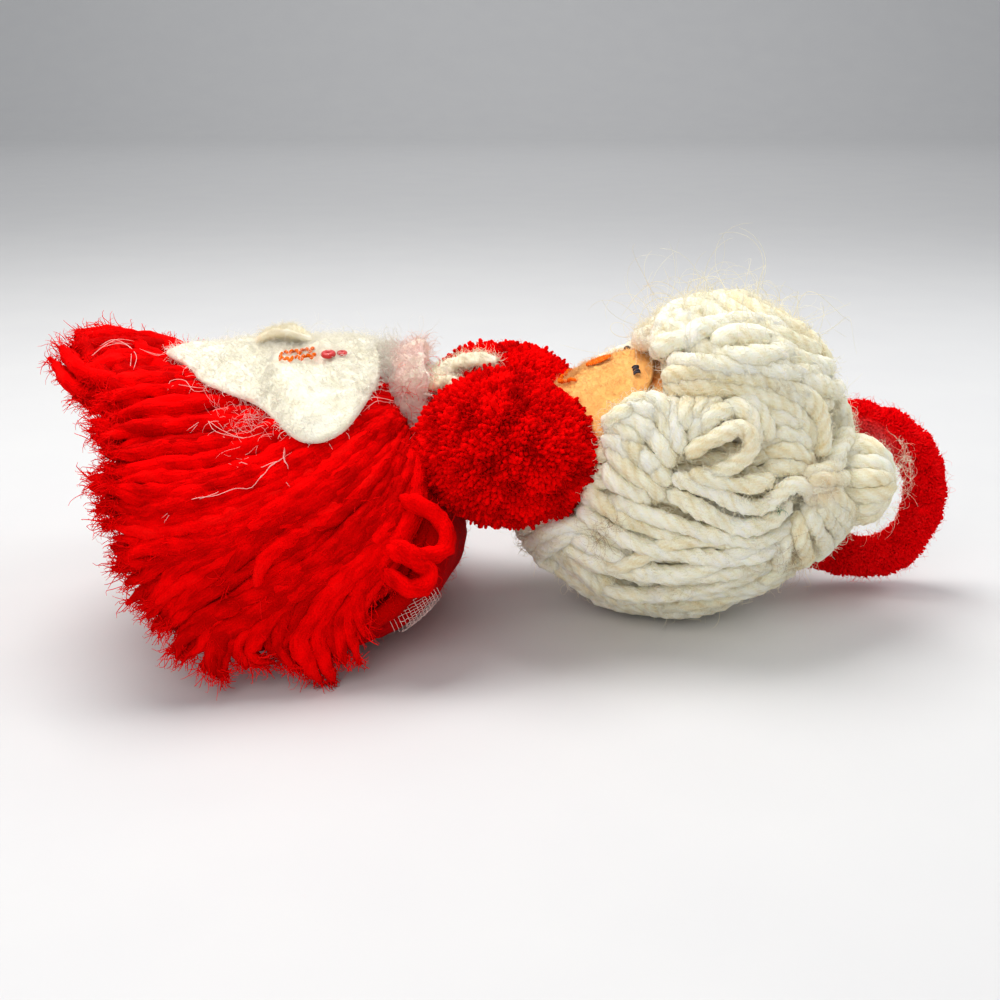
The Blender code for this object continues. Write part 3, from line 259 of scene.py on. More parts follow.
def add_tubes(soup, paths, radii, sides, first_up=(0.31, 0.52, 0.79), ply=0, depth=0.0, pitch=1.0, tints=0.5,
              flat=1.0, phase=0.0, bumps=0.0, seed=0):
    """Strands along equal rows of points, round or with twisted plies."""
    paths = np.asarray(paths, float)
    strands, steps, _ = paths.shape
    ahead = np.empty_like(paths)
    ahead[:, 1:-1] = paths[:, 2:] - paths[:, :-2]
    ahead[:, 0] = paths[:, 1] - paths[:, 0]
    ahead[:, -1] = paths[:, -1] - paths[:, -2]
    ahead = unit(ahead)
    across = np.empty_like(paths)
    side = unit(np.cross(np.broadcast_to(first_up, (strands, 3)), ahead[:, 0]))
    for step in range(steps):
        side = unit(side - (side * ahead[:, step]).sum(-1, keepdims=True) * ahead[:, step])
        across[:, step] = side
    up = np.cross(ahead, across)
    turn = math.tau * np.arange(sides) / sides
    run = np.zeros((strands, steps))
    run[:, 1:] = np.cumsum(np.linalg.norm(np.diff(paths, axis=1), axis=2), axis=1)
    radius = np.broadcast_to(radii, (strands, steps))[..., None] * np.ones(sides)
    # The valleys between plies make the strand thinner and are also kept as painted shade that darkens the colour.
    groove = np.zeros((strands, steps, sides))
    if ply:
        angle = turn - math.tau * run[..., None] / pitch + np.reshape(phase, (-1, 1, 1))
        groove = 1.0 - np.abs(np.cos(0.5 * ply * angle)) ** 0.75
        radius = radius * (1.0 - depth * groove)
    outward = (np.cos(turn)[:, None] * across[:, :, None, :] + np.sin(turn)[:, None] * up[:, :, None, :] * flat)
    rings = paths[:, :, None, :] + radius[..., None] * outward
    if bumps:
        rings = rings + outward * (bumps * ripple(rings, 1.3 * MM, seed))[..., None]
    base = (np.arange(strands)[:, None, None] * steps + np.arange(steps - 1)[:, None]) * sides
    here, after = np.arange(sides), (np.arange(sides) + 1) % sides
    quads = np.stack(np.broadcast_arrays(base + here, base + after, base + sides + after, base + sides + here),
                     axis=-1)
    low = np.broadcast_to((here / sides), quads.shape[:3]) - (run[:, :-1, None] / pitch if ply else 0.0)
    high = low + 1.0 / sides
    near = np.broadcast_to(run[:, :-1, None], low.shape) / MM
    far = np.broadcast_to(run[:, 1:, None], low.shape) / MM
    uvs = np.stack((np.stack((low, near), -1), np.stack((high, near), -1), np.stack((high, far), -1),
                    np.stack((low, far), -1)), axis=-2)
    shade = np.broadcast_to(np.reshape(tints, (-1, 1, 1)), groove.shape)
    soup.add(rings.reshape(-1, 3), quads.reshape(-1, 4), uvs.reshape(-1, 2), shade.ravel(), groove.ravel(),
             unit(outward).reshape(-1, 3))


def add_strand(soup, points, radius, spacing, sides, swell=0.05, seed=0, **kind):
    """One strand along a smooth line, with closed ends."""
    path = curve(points, spacing)
    number = np.arange(len(path))
    thick = radius * (1.0 + swell * ripple(number[:, None] * spacing, 7.0 * MM, seed))
    for from_end in (number, number[::-1]):
        thick = thick * np.sqrt(np.clip((from_end + 0.05) / 2.5, 0.0, 1.0))
    add_tubes(soup, path[None], thick[None], sides, seed=seed, **kind)


def add_grid(soup, grid, outs, tints=0.5, grooves=0.0, ring=False):
    """Surface through a grid of points whose columns join up, and its rows too where it is a ring."""
    rows, columns, _ = grid.shape
    row, column = np.meshgrid(np.arange(rows if ring else rows - 1), np.arange(columns), indexing="ij")
    after, below = (column + 1) % columns, (row + 1) % rows
    quads = np.stack((row * columns + column, row * columns + after, below * columns + after,
                      below * columns + column), axis=-1).reshape(-1, 4)
    uvs = np.stack((np.stack((column, row), -1), np.stack((column + 1, row), -1), np.stack((column + 1, row + 1), -1),
                    np.stack((column, row + 1), -1)), axis=-2).reshape(-1, 2) * 0.1
    soup.add(grid.reshape(-1, 3), quads, uvs, np.ravel(tints) if np.ndim(tints) else tints,
             np.ravel(grooves) if np.ndim(grooves) else grooves, outs.reshape(-1, 3))


def add_fibres(soup, roots, outs, lengths, radius, rise, curl, seed, points=6):
    """Loose fibres that start at the roots and curl away from the skin."""
    dice = np.random.default_rng(seed)
    count = len(roots)
    outs = unit(outs)
    aside = unit(np.cross(outs, unit(dice.normal(size=(count, 3)))))
    third = np.cross(outs, aside)
    lengths = np.reshape(lengths * dice.uniform(0.55, 1.45, count), (-1, 1, 1))
    share = np.linspace(0.0, 1.0, points)[None, :, None]
    lift = np.reshape(rise * dice.uniform(0.5, 1.3, count), (-1, 1, 1))
    wind = dice.uniform(1.5, 5.5, count).reshape(-1, 1, 1) * share + dice.uniform(0.0, 6.28, count).reshape(-1, 1, 1)
    lines = (roots[:, None] + outs[:, None] * lengths * lift * share * (1.6 - 0.9 * share)
             + aside[:, None] * lengths * np.sqrt(np.maximum(0.05, 1.0 - lift ** 2)) * share
             + curl * lengths * share * (np.cos(wind) * third[:, None] + np.sin(wind) * outs[:, None]))
    thin = radius * dice.uniform(0.7, 1.3, count)[:, None] * np.linspace(1.0, 0.35, points)
    add_tubes(soup, lines, thin, 3, tints=dice.uniform(0.0, 1.0, count))


def add_scattered(target, soups, count, length, radius, rise, curl, seed, points=6, keep=None):
    """Fibres that start at random places on the skin of what soups hold."""
    places, outs = (np.concatenate(parts) for parts in zip(*(soup.skin() for soup in soups)))
    chosen = np.arange(len(places)) if keep is None else np.flatnonzero(keep(places, outs))
    pick = np.random.default_rng(seed).choice(chosen, count)
    add_fibres(target, places[pick], outs[pick], length, radius, rise, curl, seed + 1, points)


def fuzz(name, soups, count, length, radius, look, slot, rise=0.55, curl=0.25, seed=1, keep=None):
    """Object of short fibres over the skin of what soups hold."""
    made = Soup()
    add_scattered(made, soups, count, length, radius, rise, curl, seed, keep=keep)
    return made.make(name, look, slot)


def add_caught(soup, draw, patch, number, ball, fibre, seed, points):
    """Fibres caught round a pixel on a ball. Patch: pixel and spread; ball: centre, semi-axes and height over it;
    fibre: length, radius, rise and curl."""
    (across, down), (wide, high) = patch
    centre, semi, height = ball
    spots = [(draw.normal(across, wide), draw.normal(down, high)) for _ in range(number)]
    roots = on_ball(spots, centre, semi, [height] * number)
    add_fibres(soup, roots, unit(roots - centre), *fibre, seed, points)


# ---- materials ---------------------------------------------------------------------------------
def fill(tree, item, sockets):
    """Set each input of a node to a value, or join it to another node's output."""
    for socket, value in sockets.items():
        if isinstance(value, bpy.types.NodeSocket):
            tree.links.new(value, item.inputs[socket])
        else:
            item.inputs[socket].default_value = value


def node(tree, kind, sockets=None, **settings):
    """New node with its settings and inputs."""
    item = tree.nodes.new("ShaderNode" + kind)
    for title, value in settings.items():
        setattr(item, title, value)
    fill(tree, item, sockets or {})
    return item


def new_look(name):
    """New material with its node tree, its shader and the place on the object."""
    look = bpy.data.materials.new(name)
    look.use_nodes = True
    tree = look.node_tree
    return look, tree, tree.nodes["Principled BSDF"], node(tree, "TexCoord").outputs["Object"]


def noise(tree, vector, scale, detail=2.0):
    """Cloudy value from 0 to 1."""
    return node(tree, "TexNoise", {"Vector": vector, "Scale": scale, "Detail": detail}).outputs["Fac"]


def attribute(tree, title):
    """Value that the mesh carries."""
    return node(tree, "Attribute", attribute_name=title).outputs["Fac"]


def map_range(tree, value, start, stop, low=0.0, high=1.0):
    """Value brought from one range into another."""
    return node(tree, "MapRange", {"Value": value, "From Min": start, "From Max": stop, "To Min": low,
                                   "To Max": high}).outputs["Result"]


def colour_ramp(tree, factor, stops):
    """Colour along a factor, from the place and the colour of each stop."""
    item = node(tree, "ValToRGB", {"Fac": factor})
    elements = item.color_ramp.elements
    for place, _ in stops[1:-1]:
        elements.new(place)
    for element, (place, colour) in zip(elements, stops):
        element.position = place
        element.color = (*colour, 1.0)
    return item.outputs["Color"]


def fibre_look(name, dark, middle, light, stain=None, rough=0.9, sheen=0.35, streak=(9.0, 0.5), bump=0.35,
               speck=0.0, groove=0.6, glow=0.0, shine=0.25, span=(0.2, 1.9)):
    """Wool, felt or thread: tint by strand, painted shade along each groove, streaks along the fibres, and stained
    patches that also carry painted light.
    """
    look, tree, shader, place = new_look(name)
    fill(tree, shader, {"Roughness": rough, "Sheen Weight": sheen, "Sheen Roughness": 0.45,
                        "Sheen Tint": (*light, 1.0), "Specular IOR Level": shine})
    if glow:
        fill(tree, shader, {"Subsurface Weight": glow, "Subsurface Radius": (0.0012, 0.0009, 0.0006),
                            "Subsurface Scale": 1.0})
    strand = node(tree, "UVMap", uv_map="strand").outputs["UV"]
    stretch = node(tree, "Mapping", {"Vector": strand, "Scale": (*streak, 1.0)}).outputs["Vector"]
    lines = noise(tree, stretch, 3.0, 3.0)
    cloud = noise(tree, place, 260.0, 4.0)
    fine = noise(tree, place, 3800.0, 3.0)

    def add(first, second, factor):
        """first + second * factor"""
        return node(tree, "Math", {0: second, 1: factor, 2: first}, operation="MULTIPLY_ADD").outputs[0]

    def mix(factor, first, second):
        """The first colour, turned to the second by a factor."""
        return node(tree, "Mix", {"Factor": factor, "A": first, "B": (*second, 1.0)},
                    data_type="RGBA").outputs["Result"]

    # The groove attribute darkens the colour: painted shade in the ply valleys, folds and under-layers.
    level = cloud
    for value, factor in ((lines, 0.7), (fine, 0.35), (attribute(tree, "tint"), 0.5),
                          (attribute(tree, "groove"), -groove)):
        level = add(level, value, factor)
    colour = colour_ramp(tree, map_range(tree, level, *span), ((0.12, dark), (0.62, middle), (1.0, light)))
    if speck:
        colour = mix(map_range(tree, noise(tree, place, 900.0), 0.62, 0.75, high=speck), colour, dark)
    if stain:
        ragged = map_range(tree, cloud, 0.3, 0.62)
        uneven = node(tree, "Math", {0: attribute(tree, "stain"), 1: ragged}, operation="MULTIPLY")
        colour = mix(uneven.outputs[0], colour, stain)
    relief = node(tree, "Bump", {"Strength": bump, "Distance": 0.00025, "Height": add(lines, fine, 0.8)})
    fill(tree, shader, {"Base Color": colour, "Normal": relief.outputs["Normal"]})
    return look


# Dark, middle and light colours of the ramps; the dark ends are shaded colours, which the painted shade in ply valleys
# and under-layers reaches.
RED_DARK, RED, RED_LIGHT = (0.50, 0.0, 0.0), (0.96, 0.0, 0.0005), (1.0, 0.004, 0.003)
CREAM_DARK, CREAM, CREAM_LIGHT = (0.80, 0.63, 0.31), (1.0, 0.95, 0.75), (1.0, 0.99, 0.91)
DULL = {"sheen": 0.0, "shine": 0.02}
yarn_red = fibre_look("red_yarn_wool", RED_DARK, RED, RED_LIGHT, streak=(8.0, 0.10), bump=0.9,
                      groove=0.3, span=(0.72, 1.80), **DULL)
yarn_cream = fibre_look("cream_yarn_wool", CREAM_DARK, CREAM, CREAM_LIGHT, stain=(0.72, 0.40, 0.13), glow=0.34,
                        streak=(10.0, 0.10), bump=0.9, sheen=0.15, groove=0.36, span=(0.45, 1.75))
pompom_red = fibre_look("red_pompom_wool", (0.45, 0.0, 0.0), (0.93, 0.0, 0.0005), (1.0, 0.002, 0.002),
                        streak=(3.0, 1.0), span=(0.72, 1.8), **DULL)
loop_red = fibre_look("red_chenille_pile", (0.50, 0.0, 0.001), (0.94, 0.0, 0.003), (1.0, 0.012, 0.014),
                      stain=(0.95, 0.60, 0.60), streak=(8.0, 2.0), **DULL)
# Red felt painted darker as shade, for the skirt's body under the strands
felt_red_painted_shade = fibre_look("dark_red_felt", (0.16, 0.0, 0.0005), (0.50, 0.0, 0.002), (0.74, 0.004, 0.006),
                       speck=0.5, **DULL)
# Its pink patch colour is painted red light on the waist band.
felt_white = fibre_look("white_felt_wool", (0.66, 0.58, 0.38), (0.91, 0.87, 0.71), (0.97, 0.95, 0.85),
                        stain=(0.93, 0.45, 0.42), glow=0.15, streak=(1.2, 1.5), bump=0.6)
# Its orange patch colour is painted shade inside the petal's curl, and a glue stain on the strap.
felt_cream = fibre_look("cream_felt_wool", (0.82, 0.68, 0.40), (0.98, 0.93, 0.76), (1.0, 0.98, 0.91),
                        stain=(0.90, 0.52, 0.12), glow=0.1, streak=(1.2, 1.5), bump=0.5)
felt_peach = fibre_look("peach_felt_wool", (0.66, 0.26, 0.06), (0.96, 0.52, 0.15), (1.0, 0.63, 0.25),
                        stain=(0.93, 0.20, 0.05), glow=0.1, streak=(1.2, 1.5), bump=0.6, speck=0.2, sheen=0.15)
thread_orange = fibre_look("orange_stitch_thread", (0.55, 0.06, 0.0), (0.92, 0.17, 0.008), (0.98, 0.30, 0.04),
                           rough=0.7, streak=(5.0, 1.0), **DULL)
thread_black = fibre_look("black_stitch_thread", (0.010, 0.008, 0.012), (0.045, 0.038, 0.050), (0.16, 0.14, 0.17),
                          rough=0.7, streak=(5.0, 1.0))
thread_pale = fibre_look("pale_tie_thread", (0.42, 0.28, 0.12), (0.80, 0.64, 0.38), (0.92, 0.84, 0.66),
                         rough=0.7, streak=(5.0, 1.0))
fuzz_red = fibre_look("red_loose_fibre", (0.70, 0.0, 0.0), (0.98, 0.0, 0.001), (1.0, 0.010, 0.008), rough=0.8, **DULL)
fuzz_cream = fibre_look("cream_loose_fibre", (0.74, 0.60, 0.32), (0.98, 0.91, 0.68), (1.0, 0.98, 0.88), rough=0.7)
fuzz_white = fibre_look("white_loose_fibre", (0.82, 0.75, 0.60), (0.97, 0.93, 0.81), (1.0, 0.98, 0.93), rough=0.7)
fuzz_brown = fibre_look("brown_loose_fibre", (0.14, 0.07, 0.03), (0.42, 0.27, 0.13), (0.70, 0.52, 0.30), rough=0.7)
fuzz_peach = fibre_look("peach_loose_fibre", (0.62, 0.28, 0.10), (0.96, 0.58, 0.22), (1.0, 0.74, 0.38), rough=0.7)
fuzz_pink = fibre_look("pink_loose_fibre", (0.85, 0.22, 0.20), (0.97, 0.55, 0.50), (1.0, 0.85, 0.80), rough=0.7)
fuzz_blush = fibre_look("blush_loose_fibre", (0.80, 0.40, 0.34), (0.96, 0.72, 0.65), (1.0, 0.92, 0.88), rough=0.7)
fuzz_green = fibre_look("green_lint", (0.02, 0.06, 0.03), (0.06, 0.20, 0.10), (0.16, 0.34, 0.18), rough=0.7)


def bead_look():
    """Red glass with uneven colour and a dull gloss."""
    look, tree, shader, place = new_look("red_bead_glass")
    colour = colour_ramp(tree, noise(tree, place, 900.0), ((0.0, (0.34, 0.002, 0.003)), (1.0, (0.72, 0.012, 0.010))))
    fill(tree, shader, {"Roughness": 0.42, "Coat Weight": 0.12, "Base Color": colour})
    return look


def wire_look():
    """Drawn steel wire."""
    look, tree, shader, place = new_look("stem_steel_wire")
    fill(tree, shader, {"Metallic": 1.0, "Base Color": (0.55, 0.54, 0.52, 1.0),
                        "Roughness": map_range(tree, noise(tree, place, 1200.0), 0.0, 1.0, 0.25, 0.5)})
    return look


def floor_look():
    """Pale, slightly uneven paper."""
    look, tree, shader, place = new_look("pale_floor")
    colour = colour_ramp(tree, noise(tree, place, 40.0, 6.0), ((0.0, (0.62, 0.62, 0.63)), (1.0, (0.66, 0.66, 0.66))))
    fill(tree, shader, {"Roughness": 0.65, "Base Color": colour})
    return look


# ---- the skirt's surfaces ----------------------------------------------------------------------
def skirt_place(shares, side):
    """Places from shares of the skirt's sizes."""
    return np.stack((WAIST_X - shares[..., 0] * SKIRT_LENGTH, side * shares[..., 1] * SKIRT_HALF_WIDTH,
                     shares[..., 2] * SKIRT_HEIGHT), axis=-1)


def blend_rows(rows, rib):
    """Rows of a rib table at rib numbers between whole ones, along a smooth curve."""
    table = np.array(rows)
    padded = np.vstack((table[1] * (1.0, -1.0, 1.0), table, table[-1]))
    low = np.clip(np.floor(rib).astype(int), 0, len(table) - 2)
    return spline(*(padded[low + offset] for offset in range(4)), (rib - low)[..., None])


def base_raw(along, rib):
    """Skin of the felt body before its origin was moved."""
    side = np.where(rib >= 0.0, -1.0, 1.0)
    rib = np.abs(rib)
    angle = np.radians(np.interp(rib, np.arange(len(WAIST_ANGLES)), WAIST_ANGLES))
    radius = GATHER_RADIUS - GAP
    waist = np.stack((np.full_like(angle, WAIST_X - GAP), side * radius * np.cos(angle),
                      WAIST_Z + radius * np.sin(angle)), axis=-1)
    shoulder, flank, end = (skirt_place(blend_rows(rows, rib), side) for rows in (SHOULDER, FLANK, END))
    along = along[..., None]
    rest = 1.0 - along
    return (rest ** 3 * waist + 3.0 * rest ** 2 * along * shoulder + 3.0 * rest * along ** 2 * flank
            + along ** 3 * end)


def normal_on(surface, along, rib):
    """Outward normals of a skirt surface."""
    small = 0.02
    run = surface(along + small, rib) - surface(np.maximum(0.0, along - small), rib)
    return unit(np.cross(run, surface(along, rib + small) - surface(along, rib - small)))


def floor_raw(along, rib):
    """Inner side of the yarn layer before its origin was moved."""
    side = np.where(rib >= 0.0, -1.0, 1.0)
    inside = np.minimum(along, 1.0)
    on_base = 0.03 + 0.92 * np.sin(0.5 * math.pi * np.minimum(inside / 0.85, 1.0))
    skin = base_raw(on_base, rib)
    skin = skin + normal_on(base_raw, on_base, rib) * LOCK_SEAT
    hem = skirt_place(blend_rows(HEM, np.minimum(np.abs(rib), 6.0)), side)
    pull = np.maximum(0.0, (along - 0.3) / 0.7)[..., None] ** 1.6
    return skin + (hem - skin) * pull


def lock_thickness(along):
    """Thickness of the yarn layer from waist to hem."""
    return 0.0024 + 0.0022 * np.minimum(1.0, along * 1.4)


def yarn_place(along, rib, height):
    """Place in the yarn layer at a height over its inner side."""
    along, rib = np.broadcast_arrays(np.asarray(along, float), np.asarray(rib, float))
    return floor_raw(along, rib) + normal_on(floor_raw, along, rib) * np.asarray(height)[..., None] + SHIFT


def apron_base(along, rib):
    """Lower side of the apron and the way out."""
    along, rib = np.broadcast_arrays(np.asarray(along, float), np.asarray(rib, float))
    outward = normal_on(floor_raw, along, rib)
    lift = 2.0 * GAP + 0.0003 * np.maximum(0.0, 1.0 - along / 0.3)
    return floor_raw(along, rib) + outward * (lock_thickness(along) * 0.90 + lift)[..., None] + SHIFT, outward


# ---- felt sheets -------------------------------------------------------------------------------
def felt_sheet(place, outline, middle, thick, rings=26, columns=150, seed=0, uneven=0.00022, fold=None, edge=10.0):
    """Soft felt cut to an outline round its middle, with rounded edges. Gives the soup and one side's area."""
    closed = np.asarray(outline, float)
    step = np.linalg.norm(np.diff(np.vstack((closed, closed[:1])), axis=0), axis=1)
    run = np.concatenate(([0.0], np.cumsum(step)))
    even = np.linspace(0.0, run[-1], columns, endpoint=False)
    loop = np.column_stack([np.interp(even, run, np.append(closed[:, axis], closed[0, axis])) for axis in (0, 1)])
    ring = np.linspace(0.0, 1.0, rings) ** 0.75
    ring[0] = 0.02
    spots = np.array(middle) + (loop - np.array(middle))[None] * ring[:, None, None]
    base, outward = place(spots[..., 0], spots[..., 1])
    round_off = np.sqrt(np.clip(1.0 - ring ** edge, 0.0, 1.0))[:, None, None]
    wave = ripple(base, 4.0 * MM, seed)[..., None] * uneven
    fine = ripple(base, 1.1 * MM, seed + 1)[..., None] * uneven * 0.5
    half = 0.5 * thick
    lift = 0.0 if fold is None else fold(spots[..., 0], spots[..., 1])[..., None]
    centre = base + outward * (half + lift)
    upper = centre + outward * (half * round_off + (wave + fine) * round_off)
    lower = centre - outward * (half * round_off)
    soup = Soup()
    # Darker patches here and there over the felt, painted as shade in its hollows.
    hollow = np.clip(-ripple(base, 2.2 * MM, seed + 2), 0.0, 1.0) * 0.35
    add_grid(soup, np.concatenate((upper, lower[-2::-1])), np.concatenate((outward, -outward[-2::-1])),
             grooves=np.concatenate((hollow, hollow[-2::-1])))
    return soup, grid_area(upper)


def grid_area(grid):
    """Area of a surface through a grid of points whose columns join up."""
    run = grid[1:] - grid[:-1]
    across = (np.roll(grid, -1, axis=1) - grid)[:-1]
    return float(np.linalg.norm(np.cross(run, across), axis=-1).sum())


# ---- camera, light and floor -------------------------------------------------------------------
# Name, place, what it points at, size, power and colour of each lamp
DOLL_SPOT, BEHIND_SPOT = (0.0, 0.0, 0.02), (0.0, 1.25, 0.0)
LAMPS = (("key", (-0.10, 0.10, 0.42), DOLL_SPOT, 0.26, 1.85, (1.0, 0.985, 0.96)),
         ("fill", (-0.10, -0.36, 0.26), DOLL_SPOT, 0.30, 0.74, (1.0, 0.97, 0.94)),
         ("rim", (0.34, 0.10, 0.22), DOLL_SPOT, 0.20, 0.45, (0.95, 0.98, 1.0)),
         ("back", (0.0, 0.80, 0.75), BEHIND_SPOT, 0.60, 2.6, (1.0, 0.99, 0.98)))


def make_stage():
    """Plain pale floor, soft studio light and the photograph's camera."""
    camera = bpy.data.objects.new("camera", bpy.data.cameras.new("camera"))
    camera.data.lens = CAMERA_LENS
    camera.data.sensor_width = SENSOR
    camera.data.clip_start = 0.005
    camera.data.clip_end = 5.0
    camera.location = Vector(CAMERA_PLACE)
    camera.rotation_euler = (CAMERA_TILT, 0.0, 0.0)
    bpy.context.scene.collection.objects.link(camera)
    bpy.context.scene.camera = camera
    bpy.context.scene.view_settings.view_transform = "Standard"
    world = bpy.data.worlds.new("studio")
    world.use_nodes = True
    fill(world.node_tree, world.node_tree.nodes["Background"], {"Color": (0.93, 0.96, 1.0, 1.0), "Strength": 0.40})
    bpy.context.scene.world = world
    for name, place, aim, size, power, colour in LAMPS:
        lamp = bpy.data.lights.new(name, "AREA")
        lamp.energy = power
        lamp.size = size
        lamp.color = colour
        item = bpy.data.objects.new(name, lamp)
        item.location = place
        item.rotation_euler = (Vector(aim) - Vector(place)).to_track_quat("-Z", "Y").to_euler()
        bpy.context.scene.collection.objects.link(item)
    # The floor bends up into a wall behind the doll
    mesh = bpy.data.meshes.new("floor")
    reach, bend = 1.6, 0.45
    profile = [(-reach, 0.0), (reach - bend, 0.0)]
    profile += [(reach - bend + bend * math.sin(angle), bend - bend * math.cos(angle))
                for angle in np.linspace(0.1, 0.5 * math.pi, 14)]
    profile.append((reach, reach))
    mesh.from_pydata([(side * reach, y, z) for y, z in profile for side in (-1.0, 1.0)], [],
                     [(2 * row, 2 * row + 1, 2 * row + 3, 2 * row + 2) for row in range(len(profile) - 1)])
    mesh.shade_smooth()
    mesh.materials.append(floor_look())
    floor = bpy.data.objects.new("floor", mesh)
    bpy.context.scene.collection.objects.link(floor)


make_stage()

# ---- skirt -------------------------------------------------------------------------------------
dice = np.random.default_rng(7)
skirt = Soup()
tips = []
tip_ways = []
seed = 10
YARN_SEARCH = ((0.0, 1.12), (-0.9, 6.2))    # where traced pixels are looked for: shares along, and ribs
RIB_LIMIT = 6.3
RIB_WEIGHT = 0.12                           # length of a rib against the skirt's length where strands are spaced

# Clumps of strands traced on the near side: the pixels that each passes half-way and at its tip, and its strands
CLUMPS = (
    ((150, 334), (86, 330), 6), ((158, 341), (78, 341), 5), ((160, 350), (72, 354), 6), ((165, 362), (66, 368), 6),
    ((165, 378), (78, 386), 5),
    ((175, 394), (94, 403), 5), ((195, 409), (96, 420), 5), ((215, 426), (100, 437), 5), ((222, 443), (104, 455), 5),
    ((235, 459), (92, 471), 6), ((240, 476), (89, 492), 6), ((232, 494), (95, 512), 6), ((228, 510), (110, 528), 5),
    ((250, 520), (156, 550), 6), ((215, 536), (112, 553), 5), ((262, 538), (221, 590), 3), ((205, 560),
    (132, 612), 6), ((208, 549), (118, 582), 5),
    ((272, 556), (237, 612), 4), ((215, 586), (158, 634), 5), ((228, 606), (178, 656), 6), ((250, 612),
    (214, 686), 6),
    ((278, 606), (258, 668), 5), ((302, 598), (288, 684), 6), ((326, 596), (318, 684), 6), ((350, 592),
    (336, 668), 5),
    ((366, 580), (353, 646), 4), ((384, 560), (373, 608), 4),
)


def yarn_crest(along, rib):
    """Place near the top of the yarn layer."""
    return yarn_place(along, rib, lock_thickness(np.asarray(along, float)) * 0.8)


def rib_length(along, rib):
    """Length of one rib on the yarn layer, at least 1.2 mm."""
    step = 0.1
    return max(0.0012, np.linalg.norm(yarn_crest(along, rib + step) - yarn_crest(along, rib - step)) / (2.0 * step))


def skirt_strand(marks, height, radius, tint, seed):
    """One strand of red wool through marks on the yarn layer: share along, and rib number."""
    line = curve(np.asarray(marks) * (1.0, RIB_WEIGHT), 0.02) / (1.0, RIB_WEIGHT)
    along, ribs = line[:, 0], np.clip(line[:, 1], -RIB_LIMIT, RIB_LIMIT)
    ribs = ribs + 0.07 * ripple(along[:, None], 0.5, seed) * along
    heights = lock_thickness(along) * height + 0.00030 * ripple(along[:, None], 0.4, seed + 1)
    path = curve(yarn_place(along, ribs, heights), 1.1 * MM)
    number = np.arange(len(path))
    share = np.linspace(0.0, 1.0, len(path))
    thick = radius * MM * (0.60 + 0.40 * np.minimum(1.0, share * 2.4))
    thick = thick * (1.0 + 0.09 * ripple(share[:, None], 0.2, seed))
    thick = thick * np.clip((number[::-1] + 0.25) / 5.0, 0.0, 1.0) ** 0.55
    thick = thick * np.sqrt(np.clip((number + 0.1) / 2.0, 0.0, 1.0))
    add_tubes(skirt, path[None], thick[None], 9, ply=2, depth=0.05, pitch=9.0 * MM, tints=tint,
              phase=seed * 0.7, bumps=0.00017, seed=seed)
    tips.append(path[-2])
    tip_ways.append(unit(path[-1] - path[-4]))


middles = find_on(yarn_crest, [clump[0] for clump in CLUMPS], *YARN_SEARCH)
ends_at = find_on(yarn_crest, [clump[1] for clump in CLUMPS], *YARN_SEARCH)
for side in (1.0, -1.0):
    for middle, end, (_, _, strands) in zip(middles, ends_at, CLUMPS):
        root = np.array((0.0, np.clip(0.93 * middle[1], -0.3, 6.0)))
        marks = np.array((root, root * 0.45 + middle * 0.55, middle, end))
        spans = np.array([rib_length(*mark) for mark in marks])
        clump_tint = dice.uniform(0.0, 0.9)
        for strand in range(strands):
            seed += 3
            angle = math.tau * strand / strands + dice.uniform(-0.4, 0.4)
            shift = (0.55 + 0.10 * strands) * math.cos(angle) * np.array((0.5, 0.9, 1.0, 0.8))
            shift = (shift + dice.uniform(-0.3, 0.3, 4)) * MM / spans
            placed = marks.copy()
            placed[:, 1] += shift
            placed[-1, 0] -= dice.uniform(-0.025, 0.075)
            placed[:, 1] *= side
            skirt_strand(placed, 0.66 + 0.30 * math.sin(angle), dice.uniform(1.00, 1.32),
                         clump_tint + dice.uniform(-0.4, 0.4), seed)
# Strands below the clumps, painted darker as the shade in the gaps between the clumps
for lock in range(-36, 37):
    seed += 3
    rib = 5.45 * lock / 36.0 + dice.uniform(-0.06, 0.06)
    last = min(dice.uniform(0.86, 0.95), 0.95 - 0.45 * max(0.0, abs(rib) - 4.9))
    marks = ((0.0, rib * 0.95), (last * 0.5, rib + dice.uniform(-0.1, 0.1)), (last, rib + dice.uniform(-0.15, 0.15)))
    skirt_strand(marks, dice.uniform(0.20, 0.34), 1.35, dice.uniform(-1.4, -0.7), seed)

# Loops of yarn that stand out of the near side, traced in the photograph
EYELETS = (((404, 492), (420, 503), (436, 513), (446, 529), (445, 546), (432, 556), (416, 555), (402, 547), (392, 540)),
           ((388, 545), (402, 556), (418, 563), (428, 573), (424, 585), (409, 588), (394, 580), (386, 572)))
def eyelet_crest(along, rib):
    """Place over the yarn layer at the height of the loops."""
    return yarn_place(along, rib, lock_thickness(along) + 0.0022)


for number, spots in enumerate(EYELETS):
    seats = find_on(eyelet_crest, spots, (0.0, 1.0), (2.0, 6.6))
    lifts = 1.0 + 1.5 * np.sin(np.linspace(0.0, math.pi, len(spots)))
    ring = [yarn_place(along, rib, lock_thickness(np.asarray(along)) + lift * MM)
            for (along, rib), lift in zip(seats, lifts)]
    add_strand(skirt, ring, 1.22 * MM, 0.6 * MM, 12, ply=2, depth=0.06, pitch=8.0 * MM, tints=0.6, bumps=0.00014,
               seed=5 + number)

